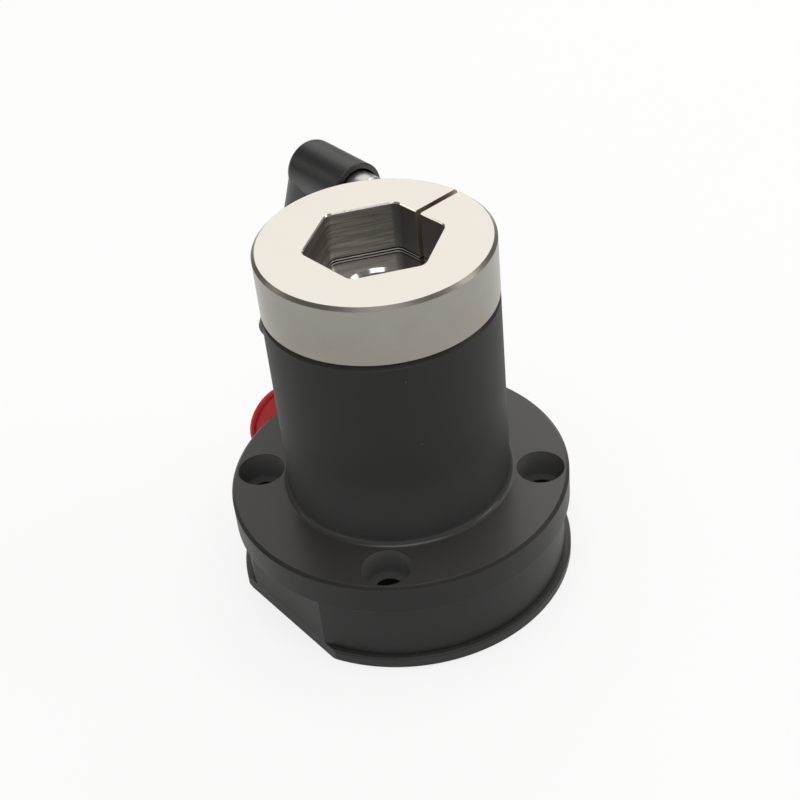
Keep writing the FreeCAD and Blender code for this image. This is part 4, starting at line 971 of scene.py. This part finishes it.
def floor_finish():
    """Pale and matt, with a glow that only camera and mirror rays see."""
    finish = Finish("pale_floor")
    place = finish.node("ShaderNodeTexCoord", output="Object")
    mottling = finish.node("ShaderNodeTexNoise", {}, {"Vector": place, "Scale": 3.0})
    colour = finish.mix(mottling, (0.90, 0.90, 0.89), (0.93, 0.93, 0.92))
    lit = finish.node("ShaderNodeBsdfDiffuse", {}, {"Color": colour})
    glow = finish.node("ShaderNodeEmission", {}, {"Color": (1, 1, 1, 1), "Strength": 1.0})
    seen = finish.node("ShaderNodeLightPath", output="Is Camera Ray")
    mirrored = finish.node("ShaderNodeLightPath", output="Is Glossy Ray")
    through = finish.node("ShaderNodeLightPath", output="Is Transmission Ray")
    direct = seen.math("MAXIMUM", seen, through)
    x, y, _ = finish.parts(place)
    far = (x * x + y * y).root().between(melts_from, melts_to)
    share = direct * (glow_near + far * (1.0 - glow_near)) + mirrored * glow_in_mirrors
    blend = finish.node("ShaderNodeMixShader", {}, {0: share, 1: lit, 2: glow})
    finish.node("ShaderNodeOutputMaterial", {}, {"Surface": blend})
    return finish.material


sheet = bmesh.new()
bmesh.ops.create_circle(sheet, cap_ends=True, segments=96, radius=floor_radius)
floor_mesh = bpy.data.meshes.new("studio_floor")
sheet.to_mesh(floor_mesh)
sheet.free()
floor_mesh.transform(Matrix.Translation((0.0, 0.0, -0.1 * millimetre)))
floor_mesh.materials.append(floor_finish())
floor = bpy.data.objects.new("studio_floor", floor_mesh)
bpy.context.scene.collection.objects.link(floor)
print("floor", 2 * floor_radius, "m across")

# %% [markdown]
# ## The white room
# The camera sees the room as pure white, but as a light it is much weaker. Bright steel mirrors
# whatever stands round it, so for mirror rays the room is dark high up, which gives the ring its
# contrast. Low down on the side that the photograph was taken from it is lighter, so that the
# ring's top isn't black when it is seen from behind.

# %% World
dark_in_mirrors = 0.17
low_in_mirrors = 0.48
fill = 0.55


class Room(Finish):
    """The shader of the world, built with the same sums."""

    def __init__(self, name):
        self.world = bpy.data.worlds.new(name)
        self.world.use_nodes = True
        self.tree = self.world.node_tree
        self.tree.nodes.clear()


room = Room("white_room")
seen = room.node("ShaderNodeLightPath", output="Is Camera Ray")
through = room.node("ShaderNodeLightPath", output="Is Transmission Ray")
mirrored = room.node("ShaderNodeLightPath", output="Is Glossy Ray")
white = seen.math("MAXIMUM", seen, through)
x, y, z = room.parts(room.node("ShaderNodeTexCoord", output="Generated"))
photo_side = (0 - (x * forward.x + y * forward.y)).between(0.08, 0.4)
low = 1 - z.between(0.40, 0.58)
in_mirrors = dark_in_mirrors + photo_side * low * low_in_mirrors
unseen = mirrored * in_mirrors + (1 - mirrored) * fill
brightness = white + (1 - white) * unseen
walls = room.node(
    "ShaderNodeBackground", {}, {"Color": (1.0, 1.0, 1.0, 1.0), "Strength": brightness}
)
room.node("ShaderNodeOutputWorld", {}, {"Surface": walls})
scene = bpy.context.scene
scene.world = room.world
scene.view_settings.view_transform = "Standard"
print("the room lights with", fill, "and mirrors with", dark_in_mirrors)

# %% [markdown]
# ## The lamps
# The bright and dark bands on the ring's bevel tell where the lights stood: one soft box on
# either side, one above, a strip over the camera and a bright backdrop behind. Each is an area
# lamp, because a small lamp would make hard shadows, which the photograph doesn't have. The strip
# gives the bright spot on the bevel of the pilot hole.

# %% Lamps
LAMPS = {
    # name: azimuth and elevation in degrees, distance and size in metres, radiance, colour
    "white_backdrop": (38, 36, 1.1, (1.35, 0.9), 0.91, (1.0, 0.985, 0.95)),
    "left_softbox": (127, 28, 1.0, (0.13, 0.35), 2.0, (1.0, 0.95, 0.86)),
    "right_softbox": (-35, 36, 1.0, (0.26, 0.40), 3.2, (1.0, 0.98, 0.95)),
    "overhead_softbox": (-126, 84, 1.0, (0.6, 0.6), 2.6, (1.0, 1.0, 1.0)),
    "strip_light": (234, 57, 1.0, (0.60, 0.12), 2.2, (1.0, 1.0, 1.0)),
}
lit_point = Vector((0.0, 0.0, 0.1))


def soft_lamp(name, azimuth, elevation, distance, size, radiance, colour):
    """A soft box that looks at the ring from a direction given in degrees."""
    lamp = bpy.data.lights.new(name, "AREA")
    lamp.shape = "RECTANGLE"
    lamp.size, lamp.size_y = size
    lamp.energy = radiance * math.pi * size[0] * size[1]
    lamp.color = colour
    flat = math.cos(math.radians(elevation))
    direction = Vector((
        flat * math.cos(math.radians(azimuth)),
        flat * math.sin(math.radians(azimuth)),
        math.sin(math.radians(elevation)),
    ))
    holder = bpy.data.objects.new(name, lamp)
    holder.location = lit_point + direction * distance
    holder.rotation_mode = "QUATERNION"
    holder.rotation_quaternion = (-direction).to_track_quat("-Z", "Y")
    bpy.context.scene.collection.objects.link(holder)


for name, row in LAMPS.items():
    soft_lamp(name, *row)
print("lamps:", list(LAMPS))
